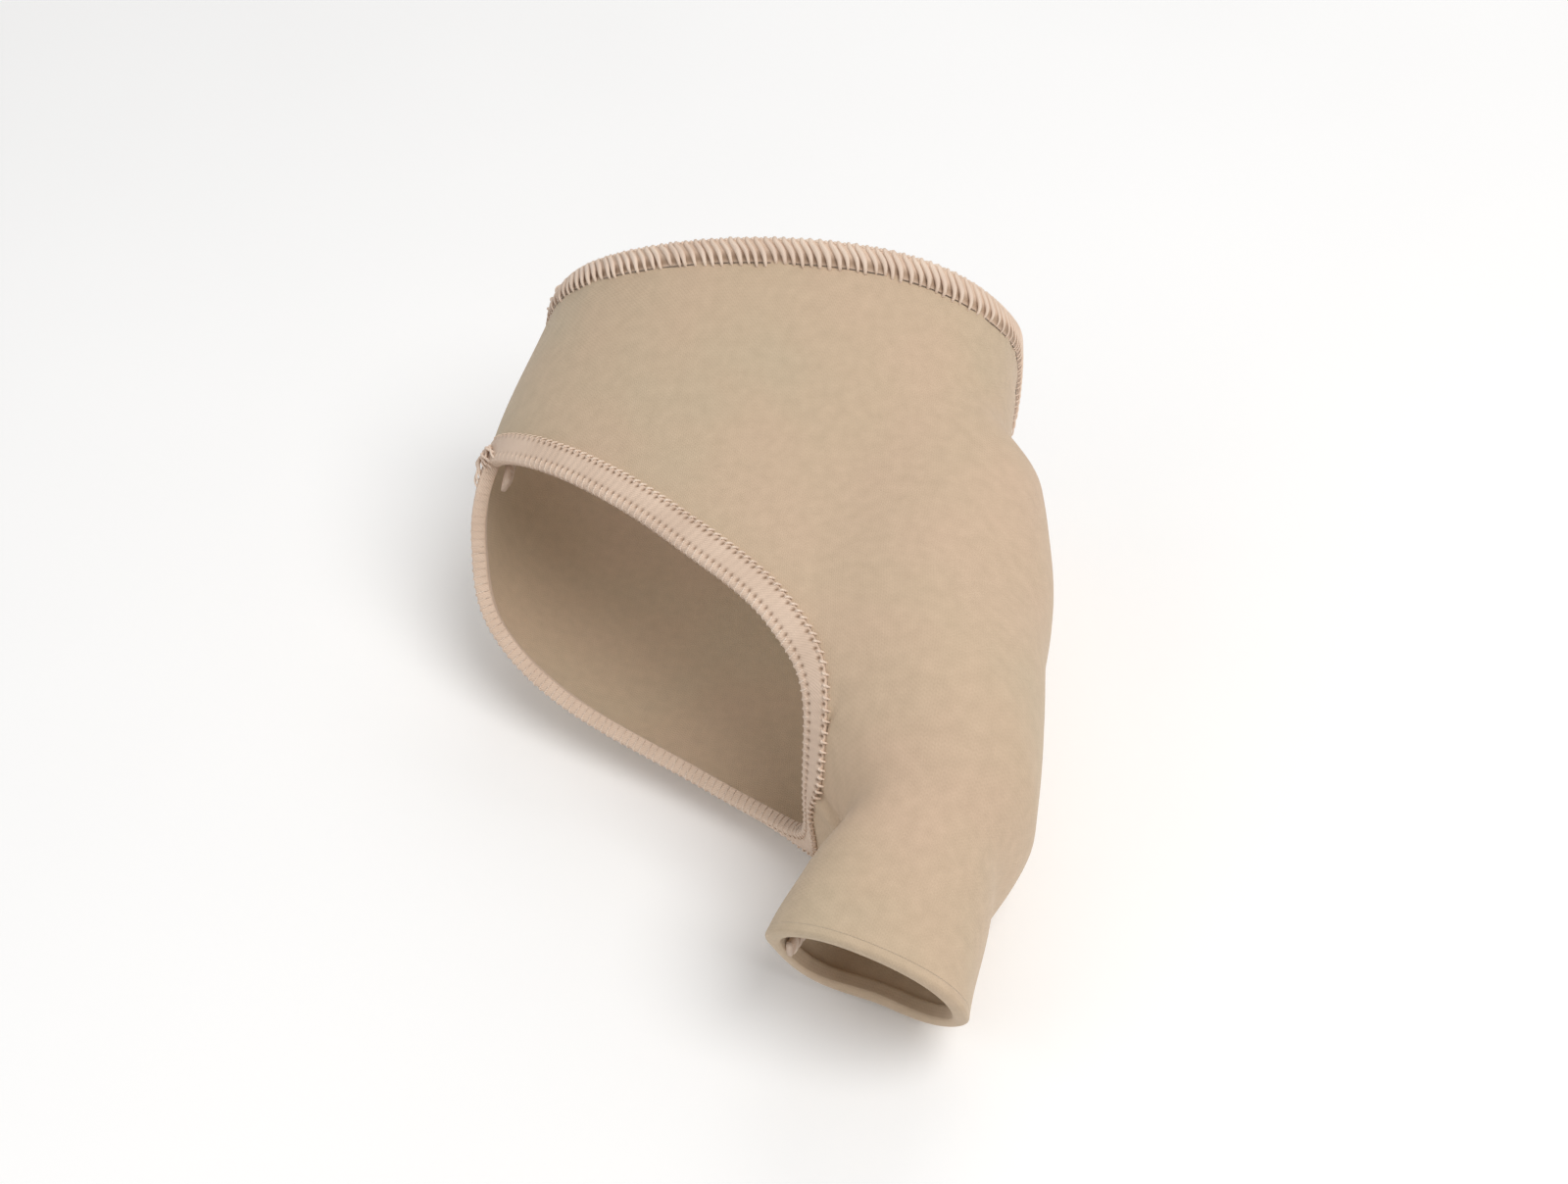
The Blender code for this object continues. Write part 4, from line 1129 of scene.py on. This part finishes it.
# Colours, and the knit's stitch sizes in millimetres
KNIT_OLIVE = (0.560, 0.450, 0.320)
KNIT_MIDDLE = (0.590, 0.450, 0.320)
KNIT_PINK = (0.615, 0.455, 0.330)
TAPE_LOW = (0.700, 0.530, 0.410)
TAPE_HIGH = (0.790, 0.610, 0.480)
THREAD_LOW = (0.780, 0.610, 0.490)
THREAD_HIGH = (0.880, 0.720, 0.590)
# painted shade in the tape's needle holes
HOLE_SHADE_COLOUR = (0.270, 0.165, 0.100)
# painted shade under and between the overlock's threads
GAP_SHADE_COLOUR = (0.430, 0.300, 0.205)
KNIT_WALE = 0.62
KNIT_COURSE = 0.50
SPOT_LENGTH = 0.21             # of a needle hole's spot of painted shade, along the tape and across it
SPOT_WIDTH = 0.34


def make_floor(height, material):
    """A wide square floor at the given height."""
    half = 1.6
    points = np.array([(-half, -half, 0), (half, -half, 0), (half, half, 0), (-half, half, 0)])
    points = points + MOUNT + (0, 0, height)
    floor = new_piece("floor", points, [np.array([[0, 1, 2, 3]])], material)


def make_camera():
    """The camera at the photograph's angle, from its heading, its angle down and its roll."""
    heading, down, roll = CAMERA_HEADING, CAMERA_DOWN, CAMERA_ROLL
    forward = np.array([-math.sin(heading) * math.cos(down), math.cos(heading) * math.cos(down),
                        -math.sin(down)])
    level = np.cross(forward, (0, 0, 1))
    level /= np.linalg.norm(level)
    above = np.cross(level, forward)
    right = math.cos(roll) * level + math.sin(roll) * above
    up = -math.sin(roll) * level + math.cos(roll) * above
    lens = bpy.data.cameras.new("camera")
    lens.lens = CAMERA_LENS
    lens.clip_start = 0.01
    lens.clip_end = 10
    camera = bpy.data.objects.new("camera", lens)
    camera.matrix_world = Matrix((
        (right[0], up[0], -forward[0], CAMERA_PLACE[0]),
        (right[1], up[1], -forward[1], CAMERA_PLACE[1]),
        (right[2], up[2], -forward[2], CAMERA_PLACE[2]),
        (0, 0, 0, 1)))
    bpy.context.scene.collection.objects.link(camera)
    bpy.context.scene.camera = camera


def make_lights():
    """Large soft lamps round the part and a pale sky."""
    for name, place, size, power, colour in (
            ("key", (0.42, -0.30, 0.75), 0.60, 5.2, (1.0, 0.985, 0.965)),
            ("fill", (-0.60, -0.35, 0.50), 0.80, 1.1, (0.98, 0.99, 1.0)),
            ("back", (0.10, 0.75, 0.60), 0.80, 1.9, (1.0, 0.99, 0.98))):
        lamp = bpy.data.lights.new(name, "AREA")
        lamp.shape = "DISK"
        lamp.size = size
        lamp.energy = power
        lamp.color = colour
        thing = bpy.data.objects.new(name, lamp)
        thing.location = place
        aim = np.array(place) - np.array((0.0, -0.03, 0.0))
        distance = np.linalg.norm(aim)
        thing.rotation_euler = (math.acos(aim[2] / distance), 0.0, math.atan2(aim[1], aim[0]) + math.pi / 2)
        bpy.context.scene.collection.objects.link(thing)
    world = bpy.data.worlds.new("sky")
    world.use_nodes = True
    world.node_tree.nodes["Background"].inputs["Color"].default_value = (1.0, 1.0, 1.0, 1)
    world.node_tree.nodes["Background"].inputs["Strength"].default_value = 0.36
    bpy.context.scene.world = world


def main():
    knit = knit_material()
    tape = ribbed_material("tape", TAPE_LOW, TAPE_HIGH, 0.42, 0.62, 0.00006, 0.15)
    thread = ribbed_material("thread", THREAD_LOW, THREAD_HIGH, 0.36, 0.50, 0.00008, 0.15)
    sleeve = make_sleeve(knit)
    tape_piece, tape_stitches = make_forefoot_tape(forefoot_edge(), thread)
    band, overlock = make_instep_hem(heel_edge(), thread)
    toe_hem = make_toe_hem(toe_edge(), knit)
    pad = make_gel_pad(gel_material())
    over_instep = CLEARANCE + INSTEP_HEM_THICKNESS
    over_forefoot = CLEARANCE + FOREFOOT_HEM_THICKNESS
    side_heel = WEB_TO_HEEL + heel_lean(SEAM_TURN_BACK)
    side_rib, side_threads = make_seam(
        "side_seam", SEAM_TURN_BACK,
        (side_heel + INSTEP_HEM_THICKNESS + SEAM_STUB,
         OPENING_BACK - FOREFOOT_HEM_THICKNESS - SEAM_STUB),
        (over_instep, over_forefoot), tape, thread)
    toe_rib, toe_threads = make_seam(
        "toe_seam", SEAM_TURN_FRONT,
        (OPENING_FRONT, -TOE_LENGTH + toe_lean(SEAM_TURN_FRONT)),
        (over_forefoot, CLEARANCE + TOE_HEM_THICKNESS), tape, thread)
    tails = make_tails(thread)
    for piece, stands_for, finish in (
            (sleeve, "sleeve", "knit"), (tape_piece, "forefoot_hem", "tape"),
            (tape_stitches, None, "thread"), (band, "instep_hem", "thread"),
            (overlock, None, "thread"), (toe_hem, "toe_hem", "knit"), (pad, "gel_pad", "gel"),
            (side_rib, "side_seam", "thread"), (side_threads, None, "thread"),
            (toe_rib, "toe_seam", "thread"), (toe_threads, None, "thread"),
            (tails, None, "thread")):
        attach(piece, "root")
        if stands_for:
            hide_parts(stands_for)
    make_floor(solid_box[0][2] - 0.0006, floor_material())
    make_camera()
    make_lights()
    bpy.context.scene.view_settings.view_transform = "Standard"


main()
